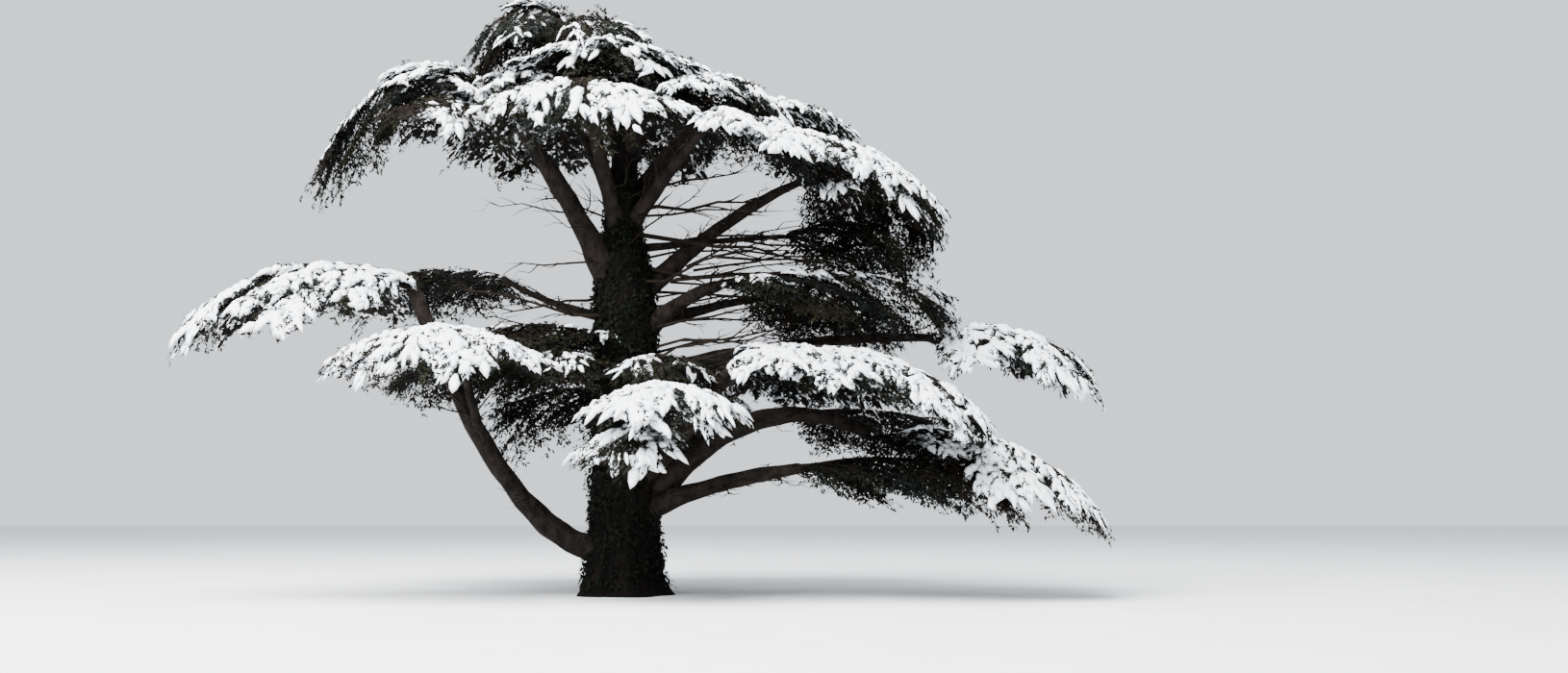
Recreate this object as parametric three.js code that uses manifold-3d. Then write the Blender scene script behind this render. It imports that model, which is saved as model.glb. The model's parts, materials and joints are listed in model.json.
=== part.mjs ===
// An old cedar of Lebanon grown in the open: a short thick trunk, a fan of heavy limbs, and shelves
// of foliage in tiers under a flat top, each shelf weighed down at its rim by snow.
// Millimetres, +Z up. The origin is the middle of the flat cut through the trunk at ground level.
// The front of the tree looks along -Y, and +X is to its right. A bearing is an angle in degrees
// about the trunk, from +X towards +Y, so 180 is to the left and 270 is straight at the viewer.

import * as THREE from "three";
import { mergeVertices } from "three/addons/utils/BufferGeometryUtils.js";
import Module from "manifold-3d";

const wasm = await Module();
wasm.setup();

// Where one limb meets another, the two keep this gap.
const GAP = 0.3;
const SEED = 1907;

// The trunk: the line of its heart, and its girth by height.
const TRUNK_LINE = [
  [0, 0, 0],
  [0, 0, 4000],
  [-60, 0, 8000],
  [-160, 40, 10600],
  [-240, 40, 12800],
  [-760, 20, 14600],
  [-1480, 0, 16250],
];
const TRUNK_RADII = [
  [0, 1040],
  [1500, 1010],
  [4000, 930],
  [7600, 900],
  [9000, 830],
  [10200, 560],
  [11800, 380],
  [13600, 260],
  [16250, 100],
];
const FLARE = { width: 330, height: 420, roots: 5, depth: 0.32, turn: 0.6 };
const TRUNK_SIDES = 13;
const TRUNK_RINGS = 19;
// Above 1, this sets the trunk's rings closer together at its foot, where the flare curves.
const RING_CROWDING = 1.25;
const HEART_STEPS = 200;

// A limb narrows by this power of the share along it. Limbs thicker than thickFrom at their foot
// have more sides, and rings are about ringSpacing apart.
const LIMB = { taper: 0.8, thickFrom: 200, thickSides: 6, thinSides: 5, ringSpacing: 1400, fewestRings: 3 };

// The limbs. leaves is the height on the trunk, or the share of the way along the limb named by
// from. reach is how far the tip is from the trunk's foot in plan, and tip its height. bow lifts
// the middle of the limb above the straight line, and foot and end are its radii.
const LIMBS = [
  { name: "low_left_bough", leaves: 1250, bearing: 198, reach: 5950, tip: 8300,
    bow: -1980, foot: 400, end: 190, splitAt: 0.6 },
  { name: "left_front_bough", from: "low_left_bough_arm", leaves: 0.2, bearing: 213, reach: 5000, tip: 6700,
    bow: -100, foot: 150, end: 105 },
  { name: "left_back_bough", leaves: 7900, bearing: 139, reach: 5800, tip: 9700,
    bow: -250, foot: 150, end: 85 },
  { name: "back_low_left_bough", leaves: 5000, bearing: 138, reach: 4000, tip: 7350,
    bow: 250, foot: 260, end: 130 },
  { name: "upper_left_bough", leaves: 8100, bearing: 200, reach: 3050, tip: 13000,
    bow: 300, foot: 400, end: 210 },
  { name: "left_stem", leaves: 9700, bearing: 226, reach: 1450, tip: 13500,
    bow: 100, foot: 260, end: 150 },
  { name: "top_right_bough", leaves: 12700, bearing: 350, reach: 1000, tip: 14550,
    bow: 100, foot: 170, end: 110 },
  { name: "right_fork_bough", leaves: 10300, bearing: 327, reach: 2900, tip: 13300,
    bow: 150, foot: 240, end: 130 },
  { name: "upper_right_bough", leaves: 8100, bearing: 3, reach: 5000, tip: 12000,
    bow: 400, foot: 310, end: 120 },
  { name: "right_under_bough", leaves: 9900, bearing: 12, reach: 4600, tip: 10500,
    bow: 40, foot: 115, end: 70 },
  { name: "right_mid_bough", leaves: 6900, bearing: 347, reach: 2700, tip: 8750,
    bow: 300, foot: 300, end: 160 },
  { name: "right_far_bough", leaves: 6100, bearing: 1, reach: 8800, tip: 7350,
    bow: 350, foot: 240, end: 110 },
  { name: "back_right_bough", leaves: 7400, bearing: 40, reach: 4300, tip: 8850,
    bow: 100, foot: 220, end: 120 },
  { name: "right_arch_bough", leaves: 1900, bearing: 354, reach: 7000, tip: 4500,
    bow: 1600, foot: 420, end: 170, splitAt: 0.5 },
  { name: "right_low_bough", leaves: 2150, bearing: 342, reach: 5200, tip: 3500,
    bow: 200, foot: 330, end: 160 },
  { name: "right_front_bough", leaves: 2900, bearing: 329, reach: 3700, tip: 6400,
    bow: -300, foot: 340, end: 160 },
  { name: "right_back_bough", leaves: 3700, bearing: 22, reach: 5000, tip: 5200,
    bow: 250, foot: 260, end: 120 },
  { name: "front_bough", leaves: 3900, bearing: 289, reach: 2900, tip: 5400,
    bow: 0, foot: 260, end: 140 },
  { name: "front_low_bough", leaves: 3100, bearing: 286, reach: 3300, tip: 4450,
    bow: -200, foot: 190, end: 95 },
  { name: "back_low_bough", leaves: 4700, bearing: 84, reach: 3200, tip: 6600,
    bow: 100, foot: 280, end: 140 },
  { name: "back_low_right_bough", leaves: 5300, bearing: 46, reach: 4200, tip: 7100,
    bow: 100, foot: 260, end: 130 },
  { name: "back_upper_left_bough", leaves: 10500, bearing: 134, reach: 3000, tip: 14700,
    bow: 200, foot: 240, end: 130 },
  { name: "back_upper_bough", leaves: 11200, bearing: 84, reach: 2100, tip: 14800,
    bow: 150, foot: 190, end: 110 },
  { name: "back_upper_right_bough", leaves: 10900, bearing: 44, reach: 3200, tip: 14900,
    bow: 250, foot: 240, end: 130 },
];

// The shelves of foliage. Each grows from the tip of the limb named by on, or from the trunk at the
// height leaves. rise is its crown above that point, fall how far its tip hangs below it, and left
// and right how far its two rims hang, looking outwards. layers are its levels, one above another,
// and pairs its side twigs on each side.
const SHELVES = [
  { name: "cap_left_shelf", on: "trunk", leaves: 15900, bearing: 188, length: 3250, width: 4600,
    rise: 1350, fall: 0, left: 1000, right: 500, layers: 2, pairs: 3 },
  { name: "cap_right_shelf", on: "trunk", leaves: 15950, bearing: 346, length: 2100, width: 4400,
    rise: 600, fall: 100, left: 600, right: 900, layers: 2, pairs: 2 },
  { name: "top_front_shelf", on: "trunk", leaves: 14600, bearing: 282, length: 2300, width: 5400,
    rise: 700, fall: -900, left: 250, right: 300, layers: 1, pairs: 3 },
  { name: "top_right_shelf", on: "top_right_bough", bearing: 352, length: 3900, width: 5000,
    rise: 650, fall: 1000, left: 300, right: 600, layers: 2, pairs: 3 },
  { name: "upper_left_shelf", on: "upper_left_bough", bearing: 183, length: 5600, width: 6200,
    rise: 2250, fall: 600, left: 1550, right: 500, layers: 2, pairs: 4 },
  { name: "upper_left_inner_shelf", on: "trunk", leaves: 14000, bearing: 200, length: 3800, width: 3600,
    rise: 800, fall: -450, left: 350, right: 200, layers: 1, pairs: 2 },
  { name: "upper_front_shelf", on: "left_stem", bearing: 272, length: 3600, width: 6200,
    rise: 750, fall: 450, left: 350, right: 350, layers: 1, pairs: 4 },
  { name: "upper_right_front_shelf", on: "right_fork_bough", bearing: 334, length: 6600, width: 5800,
    rise: -100, fall: 2600, left: 800, right: 250, layers: 1, pairs: 5 },
  { name: "upper_right_shelf", on: "upper_right_bough", bearing: 8, length: 4000, width: 6200,
    rise: 1300, fall: 1200, left: 1300, right: 1100, layers: 2, pairs: 4 },
  { name: "right_under_shelf", on: "right_under_bough", bearing: 356, length: 3800, width: 4000,
    rise: 450, fall: 250, left: 250, right: 450, layers: 3, pairs: 3 },
  { name: "left_shelf", on: "low_left_bough_arm", bearing: 187, length: 5900, width: 5600,
    rise: 950, fall: 700, left: 1500, right: 400, layers: 1, pairs: 4 },
  { name: "left_back_shelf", on: "left_back_bough", bearing: 160, length: 4700, width: 5000,
    rise: 450, fall: 250, left: 300, right: 200, layers: 2, pairs: 4 },
  { name: "left_front_shelf", on: "left_front_bough", bearing: 262, length: 3300, width: 5800,
    rise: 500, fall: 450, left: 500, right: 500, layers: 1, pairs: 4 },
  { name: "back_low_left_shelf", on: "back_low_left_bough", bearing: 150, length: 5600, width: 5200,
    rise: 350, fall: 600, left: 350, right: 350, layers: 2, pairs: 3 },
  { name: "middle_left_shelf", on: "trunk", leaves: 6400, bearing: 222, length: 4300, width: 3600,
    rise: 350, fall: 250, left: 250, right: 200, layers: 2, pairs: 3 },
  { name: "middle_front_shelf", on: "trunk", leaves: 6200, bearing: 300, length: 4000, width: 3600,
    rise: 450, fall: 150, left: 300, right: 300, layers: 2, pairs: 3 },
  { name: "front_shelf", on: "front_bough", bearing: 291, length: 3300, width: 3600,
    rise: 250, fall: 350, left: 300, right: 250, layers: 1, pairs: 4 },
  { name: "front_low_shelf", on: "front_low_bough", bearing: 262, length: 2400, width: 2600,
    rise: 100, fall: 400, left: 250, right: 250, layers: 1, pairs: 2 },
  { name: "right_mid_shelf", on: "right_mid_bough", bearing: 355, length: 6600, width: 5400,
    rise: 450, fall: 450, left: 350, right: 500, layers: 3, pairs: 4 },
  { name: "back_right_shelf", on: "back_right_bough", bearing: 30, length: 5000, width: 5000,
    rise: 300, fall: 400, left: 300, right: 350, layers: 2, pairs: 3 },
  { name: "right_far_shelf", on: "right_far_bough", bearing: 352, length: 4400, width: 4600,
    rise: 450, fall: 900, left: 500, right: 1000, layers: 1, pairs: 3 },
  { name: "right_front_shelf", on: "right_front_bough", bearing: 337, length: 7000, width: 5000,
    rise: 550, fall: 1500, left: 700, right: 350, layers: 1, pairs: 5 },
  { name: "right_low_shelf", on: "right_arch_bough_arm", bearing: 341, length: 6200, width: 5200,
    rise: 450, fall: 1900, left: 400, right: 1000, layers: 1, pairs: 4 },
  { name: "right_foot_shelf", on: "right_low_bough", bearing: 341, length: 6000, width: 3800,
    rise: 300, fall: 350, left: 250, right: 250, layers: 2, pairs: 4 },
  { name: "right_back_shelf", on: "right_back_bough", bearing: 12, length: 5200, width: 4200,
    rise: 250, fall: 250, left: 350, right: 350, layers: 2, pairs: 3 },
  { name: "low_left_inner_shelf", on: "trunk", leaves: 5700, bearing: 160, length: 4100, width: 3000,
    rise: 250, fall: 350, left: 250, right: 250, layers: 3, pairs: 3 },
  { name: "back_low_shelf", on: "back_low_bough", bearing: 90, length: 5000, width: 6000,
    rise: 300, fall: 1250, left: 500, right: 500, layers: 1, pairs: 3 },
  { name: "back_low_right_shelf", on: "back_low_right_bough", bearing: 50, length: 4800, width: 4400,
    rise: 250, fall: 600, left: 350, right: 300, layers: 1, pairs: 3 },
  { name: "back_upper_left_shelf", on: "back_upper_left_bough", bearing: 132, length: 4900, width: 5400,
    rise: 400, fall: 300, left: 350, right: 400, layers: 1, pairs: 3 },
  { name: "back_upper_shelf", on: "back_upper_bough", bearing: 86, length: 4700, width: 4200,
    rise: 450, fall: 250, left: 350, right: 350, layers: 1, pairs: 3 },
  { name: "back_upper_right_shelf", on: "back_upper_right_bough", bearing: 42, length: 4900, width: 5200,
    rise: 700, fall: 450, left: 450, right: 350, layers: 2, pairs: 3 },
  { name: "cap_front_shelf", on: "trunk", leaves: 15600, bearing: 262, length: 2000, width: 3200,
    rise: 1000, fall: 0, left: 300, right: 300, layers: 2, pairs: 2 },
  { name: "left_mid_shelf", on: "trunk", leaves: 7300, bearing: 196, length: 5400, width: 3600,
    rise: 350, fall: 250, left: 300, right: 250, layers: 2, pairs: 4 },
];

// The levels of a deep shelf hang this far below each other.
const LAYER_GAP = 400;

// The stem of a shelf: its radii, the share of its length that goes straight on, the shares at
// which it rests on the shelf's surface, and the power that it narrows by.
const STEM = {
  tip: 30,
  onTrunk: 120,
  straight: 0.06,
  rests: [0.3, 0.6, 0.82],
  taper: 0.7,
  sides: 4,
  rings: 4,
};
const STEM_END = STEM.rests.at(-1);
// Twigs leave the stem between these shares of it.
const BEARING_PART = [0.04, 0.96];

// The outline of a shelf: a power of a sine, from start over span.
const RIM = { start: 0.14, span: 0.76, power: 0.6 };
// How far apart two points of a surface are taken to find its slope.
const SLOPE_STEP = 0.02;

// The sprays of needles: width and thickness, how far a tip droops for its distance from the stem,
// and how high the twig arches.
const SPRAY = { width: 1650, thickness: 150, droop: 0.14, arch: 160, archAt: 0.55 };

// The side twigs, in shares of the shelf: the part of the stem that they are spread over, where
// each leaves it, how far forward its spray ends, how the widths vary, and its bare part.
const TWIG = {
  over: 0.8,
  leaves: 0.2,
  stray: 0.5,
  ahead: 0.2,
  aheadStray: 0.06,
  least: 0.85,
  vary: 0.25,
  stalk: 0.42,
};
// Two twigs of every four are followed by a second one, which fills the shelf out near the stem.
const INNER_OF = 4;
const INNER_TWIGS = [0, 3];
const INNER = { after: 0.4, ahead: 0.1, reach: 1000, out: 0.4, outStray: 0.15, below: 160, stalk: 0.25 };
// The last twig carries straight on from the stem.
const END = { leaves: 0.98, stalk: 0.2 };

// What is tried in turn to fit a spray in: how far it moves up, and its shares of reach and width.
const TRIES = [
  [0, 1, 1],
  [-150, 1, 0.85],
  [150, 1, 0.85],
  [-300, 0.95, 0.7],
  [260, 0.9, 0.7],
  [-150, 0.75, 0.6],
  [0, 0.55, 0.5],
];

const BARK = new THREE.MeshStandardMaterial({ color: 0x3b342e, roughness: 0.95, metalness: 0 });
const NEEDLES = new THREE.MeshStandardMaterial({ color: 0x2a3026, roughness: 0.9, metalness: 0 });
const SNOWY = new THREE.MeshStandardMaterial({ color: 0xe9edf2, roughness: 0.85, metalness: 0 });

const UP = new THREE.Vector3(0, 0, 1);
// Corners closer than this are one corner.
const SAME_POINT = 1e-3;

// A repeatable source of numbers from 0 to 1.
function randomFrom(seed) {
  let state = seed >>> 0;
  return () => {
    state = (state + 0x6d2b79f5) >>> 0;
    let t = state;
    t = Math.imul(t ^ (t >>> 15), t | 1);
    t ^= t + Math.imul(t ^ (t >>> 7), t | 61);
    return ((t ^ (t >>> 14)) >>> 0) / 4294967296;
  };
}

function heading(bearing) {
  const angle = THREE.MathUtils.degToRad(bearing);
  return new THREE.Vector3(Math.cos(angle), Math.sin(angle), 0);
}

// The value at x of a line drawn through [x, value] pairs.
function valueAt(pairs, x) {
  const next = pairs.findIndex(([at]) => at >= x);
  if (next <= 0) return pairs[next < 0 ? pairs.length - 1 : 0][1];
  const [[x0, v0], [x1, v1]] = [pairs[next - 1], pairs[next]];
  return v0 + ((v1 - v0) * (x - x0)) / (x1 - x0);
}

function solidFrom(geometry) {
  geometry.deleteAttribute("normal");
  geometry.deleteAttribute("uv");
  const merged = mergeVertices(geometry, SAME_POINT);
  return new wasm.Manifold(
    new wasm.Mesh({
      numProp: 3,
      vertProperties: merged.attributes.position.array,
      triVerts: new Uint32Array(merged.index.array),
    }),
  );
}

function meshFrom(solid, name, material) {
  const made = solid.getMesh();
  const geometry = new THREE.BufferGeometry();
  geometry.setAttribute("position", new THREE.BufferAttribute(made.vertProperties, 3));
  geometry.setIndex(new THREE.BufferAttribute(made.triVerts, 1));
  const flat = geometry.toNonIndexed();
  flat.computeVertexNormals();
  const mesh = new THREE.Mesh(flat, material);
  mesh.name = name;
  return mesh;
}

// A round rod bent along a curve, whose radius is radiusAt(share along, angle round).
function rodAlong(curve, radiusAt, sides, rings) {
  const rod = new THREE.CylinderGeometry(1, 1, 1, sides, rings);
  const spots = rod.attributes.position;
  const spot = new THREE.Vector3();
  for (let i = 0; i < spots.count; i += 1) {
    spot.fromBufferAttribute(spots, i);
    const share = THREE.MathUtils.clamp(0.5 - spot.y, 0, 1);
    const ahead = curve.getTangent(share);
    const aside = new THREE.Vector3(-ahead.y, ahead.x, 0);
    aside.normalize();
    const below = new THREE.Vector3().crossVectors(aside, ahead);
    const radius = radiusAt(share, Math.atan2(spot.z, spot.x));
    curve
      .getPoint(share)
      .addScaledVector(below, spot.x * radius)
      .addScaledVector(aside, spot.z * radius)
      .toArray(spots.array, 3 * i);
  }
  return solidFrom(rod);
}

function trunkCurve() {
  return new THREE.CatmullRomCurve3(TRUNK_LINE.map((p) => new THREE.Vector3(...p)));
}

const HEART = trunkCurve().getPoints(HEART_STEPS);

function heartAt(height) {
  const next = Math.max(1, HEART.findIndex((p) => p.z >= height));
  const [low, high] = [HEART[next - 1], HEART[next]];
  return low.clone().lerp(high, (height - low.z) / (high.z - low.z));
}

// The trunk, made stouter by extra. It stands on its flat cut, so its rings are level.
function trunkSolid(extra) {
  const top = TRUNK_LINE.at(-1)[2];
  const trunk = new THREE.CylinderGeometry(1, 1, 1, TRUNK_SIDES, TRUNK_RINGS);
  const spots = trunk.attributes.position;
  for (let i = 0; i < spots.count; i += 1) {
    const share = spots.getY(i) + 0.5;
    const height = top * share ** RING_CROWDING;
    const angle = Math.atan2(spots.getZ(i), spots.getX(i));
    const flare = FLARE.width * Math.exp(-height / FLARE.height);
    const lobes = 1 + FLARE.depth * Math.cos(FLARE.roots * angle + FLARE.turn);
    const radius = valueAt(TRUNK_RADII, height) + flare * lobes + extra;
    const heart = heartAt(height);
    const reach = Math.hypot(spots.getX(i), spots.getZ(i)) * radius;
    spots.setXYZ(
      i,
      heart.x + reach * Math.cos(angle),
      heart.y - reach * Math.sin(angle),
      height + (height > 0 ? extra * share : 0),
    );
  }
  return solidFrom(trunk);
}

// The curve of a limb, from the heart of what carries it to its tip. The curve goes half as high
// as the point that draws it up.
function limbCurve(limb, start) {
  const tip = heading(limb.bearing).multiplyScalar(limb.reach);
  tip.z = limb.tip;
  const middle = start.clone().lerp(tip, 0.5).addScaledVector(UP, 2 * limb.bow);
  return new THREE.QuadraticBezierCurve3(start, middle, tip);
}

// The part of a curve from one share along it to another.
class Stretch extends THREE.Curve {
  constructor(whole, from, to) {
    super();
    this.whole = whole;
    this.shareOf = (share) => from + (to - from) * share;
  }

  getPoint(share, target) {
    return this.whole.getPoint(this.shareOf(share), target);
  }

  getTangent(share, target) {
    return this.whole.getTangent(this.shareOf(share), target);
  }
}

function limbRadius(limb, from, to, extra) {
  return (share) => {
    const at = from + (to - from) * share;
    return limb.foot + (limb.end - limb.foot) * Math.pow(at, LIMB.taper) + extra;
  };
}

// Every finished node, so that what grows later keeps clear of it.
const nodes = new Map();

function keep(name, solid, material, more = {}) {
  const box = solid.boundingBox();
  nodes.set(name, { solid, material, box, ...more });
}

function apart(a, b) {
  return [0, 1, 2].some((k) => a.min[k] > b.max[k] || b.min[k] > a.max[k]);
}

// Whether a solid touches any finished node but the ones let through.
function touches(solid, letThrough = []) {
  const box = solid.boundingBox();
  for (const [name, other] of nodes) {
    if (letThrough.includes(name) || apart(box, other.box)) continue;
    if (!solid.intersect(other.solid).isEmpty()) return name;
  }
  return "";
}

function largestPiece(solid) {
  return solid.decompose().sort((a, b) => b.volume() - a.volume())[0];
}

function growLimb(limb) {
  const start = limb.from
    ? nodes.get(limb.from).curve.getPoint(limb.leaves)
    : heartAt(limb.leaves);
  const curve = limbCurve(limb, start);
  const cuts = limb.splitAt ? [0, limb.splitAt, 1] : [0, 1];
  const length = curve.getLength();
  const sides = limb.foot > LIMB.thickFrom ? LIMB.thickSides : LIMB.thinSides;
  for (let i = 0; i + 1 < cuts.length; i += 1) {
    const from = i ? cuts[i] + GAP / length : 0;
    const part = new Stretch(curve, from, cuts[i + 1]);
    const rings = Math.max(LIMB.fewestRings, Math.round(part.getLength() / LIMB.ringSpacing));
    let solid = rodAlong(part, limbRadius(limb, from, cuts[i + 1], 0), sides, rings);
    // The foot is cut clear of the trunk, and of each limb that leaves close beside it.
    const fat = rodAlong(part, limbRadius(limb, from, cuts[i + 1], GAP), sides, rings);
    if (i === 0) {
      for (const other of nodes.values()) {
        if (!apart(other.box, solid.boundingBox())) solid = solid.subtract(other.fat);
      }
      solid = largestPiece(solid);
    }
    const name = limb.name + (limb.splitAt ? ["_foot", "_arm"][i] : "");
    keep(name, solid, BARK, { curve: part, fat, tip: limb.end });
  }
}

// A frond is a twig and its spray: a bar of three sides, with a flat underside and a ridge along
// its top. It starts bare and then spreads into a toothed outline. Each row is a share of the way
// along the ridge, a share along for the two edges, and the half width and ridge height there.
const FROND = [
  [0, 0, 0.07, 0.6],
  [0.36, 0.36, 0.05, 0.45],
  [0.5, 0.64, 1, 1],
  [0.66, 0.66, 0.42, 0.9],
  [0.78, 0.88, 0.72, 0.6],
];
const STALK = 0.36;

// A frond along a curve. stalk is the share of it that is bare twig.
function frondSolid(curve, upward, width, stalk) {
  // Moves a row's share so that the spray starts where the stalk ends.
  const moved = (share) =>
    share <= STALK
      ? (share * stalk) / STALK
      : stalk + ((share - STALK) * (1 - stalk)) / (1 - STALK);
  const spots = [];
  for (const [onRidge, onEdge, wide, high] of FROND) {
    const edge = curve.getPoint(moved(onEdge));
    const aside = new THREE.Vector3()
      .crossVectors(upward, curve.getTangent(moved(onEdge)))
      .normalize()
      .multiplyScalar((wide * width) / 2);
    const ridge = curve.getPoint(moved(onRidge)).addScaledVector(upward, high * SPRAY.thickness);
    spots.push(edge.clone().add(aside), ridge, edge.clone().sub(aside));
  }
  spots.push(curve.getPoint(1));
  const faces = [2, 1, 0];
  const last = 3 * (FROND.length - 1);
  for (let ring = 0; ring < last; ring += 3) {
    for (let k = 0; k < 3; k += 1) {
      const [a, b] = [ring + k, ring + ((k + 1) % 3)];
      faces.push(a, b, b + 3, a, b + 3, a + 3);
    }
  }
  for (let k = 0; k < 3; k += 1) faces.push(last + k, last + ((k + 1) % 3), last + 3);
  const geometry = new THREE.BufferGeometry().setFromPoints(spots);
  geometry.setIndex(faces);
  return solidFrom(geometry);
}

// The surface that a shelf's twigs lie in. u runs from 0 to 1 along its stem, and v from -1 to 1
// across its widest place, positive on the left.
function surfaceOf(shelf, base) {
  const ahead = heading(shelf.bearing);
  const left = heading(shelf.bearing + 90);
  const rim = (u) => {
    const inside = THREE.MathUtils.clamp(u, 0, 1);
    return Math.pow(Math.sin(Math.PI * (RIM.start + RIM.span * inside)), RIM.power);
  };
  const point = (u, v, lift = 0) => {
    const hang = v > 0 ? shelf.left : shelf.right;
    const height = shelf.rise * 4 * u * (1 - u) - shelf.fall * u * u - hang * v * v;
    return base
      .clone()
      .addScaledVector(ahead, u * shelf.length)
      .addScaledVector(left, (v * shelf.width) / 2)
      .addScaledVector(UP, height + lift);
  };
  const upward = (u, v) => {
    const onward = point(u + SLOPE_STEP, v).sub(point(u - SLOPE_STEP, v));
    const across = point(u, v + SLOPE_STEP).sub(point(u, v - SLOPE_STEP));
    return onward.cross(across).normalize();
  };
  return { rim, point, upward };
}

// The stem of a shelf. It carries straight on from its limb, and then follows the surface.
function growStem(shelf) {
  const onTrunk = shelf.on === "trunk";
  const carrier = nodes.get(shelf.on);
  const base = onTrunk ? heartAt(shelf.leaves) : carrier.curve.getPoint(1);
  const onward = onTrunk ? heading(shelf.bearing) : carrier.curve.getTangent(1);
  const foot = onTrunk ? STEM.onTrunk : carrier.tip;
  const surface = surfaceOf(shelf, base);
  const start = base.clone().addScaledVector(onward, GAP);
  const bend = start.clone().addScaledVector(onward, STEM.straight * shelf.length);
  const rests = STEM.rests.map((u) => surface.point(u, 0));
  const curve = new THREE.CatmullRomCurve3([start, bend, ...rests]);
  const taper = (share) => foot + (STEM.tip - foot) * Math.pow(share, STEM.taper);
  let solid = rodAlong(curve, taper, STEM.sides, STEM.rings);
  if (onTrunk) solid = largestPiece(solid.subtract(carrier.fat));
  const struck = touches(solid, [shelf.on]);
  if (struck) console.warn(shelf.name + "'s stem touches " + struck);
  keep(shelf.name, solid, shelf.layers === 1 ? SNOWY : NEEDLES, { curve, surface });
}

// The fronds of a shelf: side twigs in turn to the right and left of its stem, and one at its end.
function growShelf(shelf, index) {
  const random = randomFrom(SEED + 97 * index);
  const stem = nodes.get(shelf.name);
  const { rim, point, upward } = stem.surface;
  const pieces = [stem];

  // A frond joins the shelf unless it would touch a neighbour, or any part of the shelf but the
  // stem that it grows from.
  const add = (root, u, v, lift, width, stalk) => {
    for (const [shift, share, narrowed] of TRIES) {
      const rest = point(u, v, lift + shift);
      const tip = root.clone().lerp(rest, share);
      tip.z -= SPRAY.droop * tip.distanceTo(root);
      const middle = root.clone().lerp(rest, SPRAY.archAt * share).addScaledVector(UP, SPRAY.arch);
      const curve = new THREE.QuadraticBezierCurve3(root, middle, tip);
      const solid = frondSolid(curve, upward(u, v), width * narrowed, stalk);
      const piece = { solid, box: solid.boundingBox() };
      const free = (other) =>
        other === stem || apart(other.box, piece.box) || solid.intersect(other.solid).isEmpty();
      if (pieces.every(free) && !touches(solid, [shelf.name])) {
        pieces.push(piece);
        return;
      }
    }
  };

  const rootAt = (u) => stem.curve.getPoint(THREE.MathUtils.clamp(u / STEM_END, ...BEARING_PART));
  const twigs = 2 * shelf.pairs;
  for (let i = 0; i < twigs; i += 1) {
    const side = i % 2 ? 1 : -1;
    const leaves = (TWIG.over * (i + TWIG.leaves + TWIG.stray * random())) / twigs;
    const ends = leaves + TWIG.ahead + TWIG.aheadStray * random();
    const width = SPRAY.width * (TWIG.least + TWIG.vary * random());
    const out = INNER.out + INNER.outStray * random();
    const lift = -(Math.floor(i / 2) % shelf.layers) * LAYER_GAP;
    add(rootAt(leaves), ends, side * rim(ends), lift, width, TWIG.stalk);
    if (INNER_TWIGS.includes(i % INNER_OF)) {
      const next = leaves + INNER.after / shelf.pairs;
      const ahead = Math.min(1, next + INNER.ahead + INNER.reach / shelf.length);
      add(rootAt(next), ahead, side * out, lift - INNER.below, width, INNER.stalk);
    }
  }
  add(stem.curve.getPoint(END.leaves), 1, 0, 0, SPRAY.width, END.stalk);

  const whole = pieces.map((piece) => piece.solid).reduce((sum, solid) => sum.add(solid));
  keep(shelf.name, largestPiece(whole), stem.material);
}

keep("trunk", trunkSolid(0), BARK, { fat: trunkSolid(GAP) });
LIMBS.forEach(growLimb);
SHELVES.forEach(growStem);
SHELVES.forEach(growShelf);

const cedar = new THREE.Group();
cedar.name = "cedar_tree";
for (const [name, { solid, material }] of nodes) {
  cedar.add(meshFrom(solid, name, material));
}

export default cedar;
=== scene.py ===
"""An old cedar of Lebanon under snow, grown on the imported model's limbs by the rule of its source.

The limbs and the shelves of foliage are the source's own, in metres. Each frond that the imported
solids hold is grown again here and carried on to branchlets, fingers, needles and snow.
+Z is up, the origin is the middle of the trunk's flat cut, and the viewer stands towards -Y.
"""

import json
import logging
import math
from collections.abc import Callable, Iterator, Sequence
from dataclasses import dataclass, field
from enum import Enum

import bpy
import numpy as np
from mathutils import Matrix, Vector, kdtree

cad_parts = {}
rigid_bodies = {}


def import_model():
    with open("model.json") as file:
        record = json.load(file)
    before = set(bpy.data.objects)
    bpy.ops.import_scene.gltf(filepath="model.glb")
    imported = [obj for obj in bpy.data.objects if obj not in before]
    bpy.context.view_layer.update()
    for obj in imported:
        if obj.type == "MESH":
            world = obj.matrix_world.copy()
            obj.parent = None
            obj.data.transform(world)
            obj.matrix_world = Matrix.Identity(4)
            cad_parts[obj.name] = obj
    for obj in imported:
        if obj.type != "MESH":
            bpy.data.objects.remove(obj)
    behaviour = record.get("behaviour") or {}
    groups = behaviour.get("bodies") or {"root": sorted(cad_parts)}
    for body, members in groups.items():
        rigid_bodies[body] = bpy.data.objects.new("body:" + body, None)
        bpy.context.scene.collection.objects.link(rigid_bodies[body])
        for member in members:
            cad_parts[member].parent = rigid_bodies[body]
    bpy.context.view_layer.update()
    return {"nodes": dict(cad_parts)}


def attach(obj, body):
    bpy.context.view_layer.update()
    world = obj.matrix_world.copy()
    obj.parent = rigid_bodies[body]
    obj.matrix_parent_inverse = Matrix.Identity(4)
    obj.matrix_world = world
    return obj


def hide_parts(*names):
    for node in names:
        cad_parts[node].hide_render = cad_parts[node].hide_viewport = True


Array = np.ndarray
Rng = np.random.Generator

log = logging.getLogger("cedar")

UP = np.array([0.0, 0.0, 1.0])
# The source's seed, and its gap between two solids in metres.
SEED = 1907
GAP = 0.0003
# A twig's section seen from its tip, flat beneath with a ridge above.
TWIG_SECTION = ((-1, -0.6), (1, -0.6), (0, 1))


class Slot(Enum):
    """The record's material slots."""

    BARK = "bark"
    FOLIAGE = "foliage"
    SNOW = "snow"
    IVY = "ivy"


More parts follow.
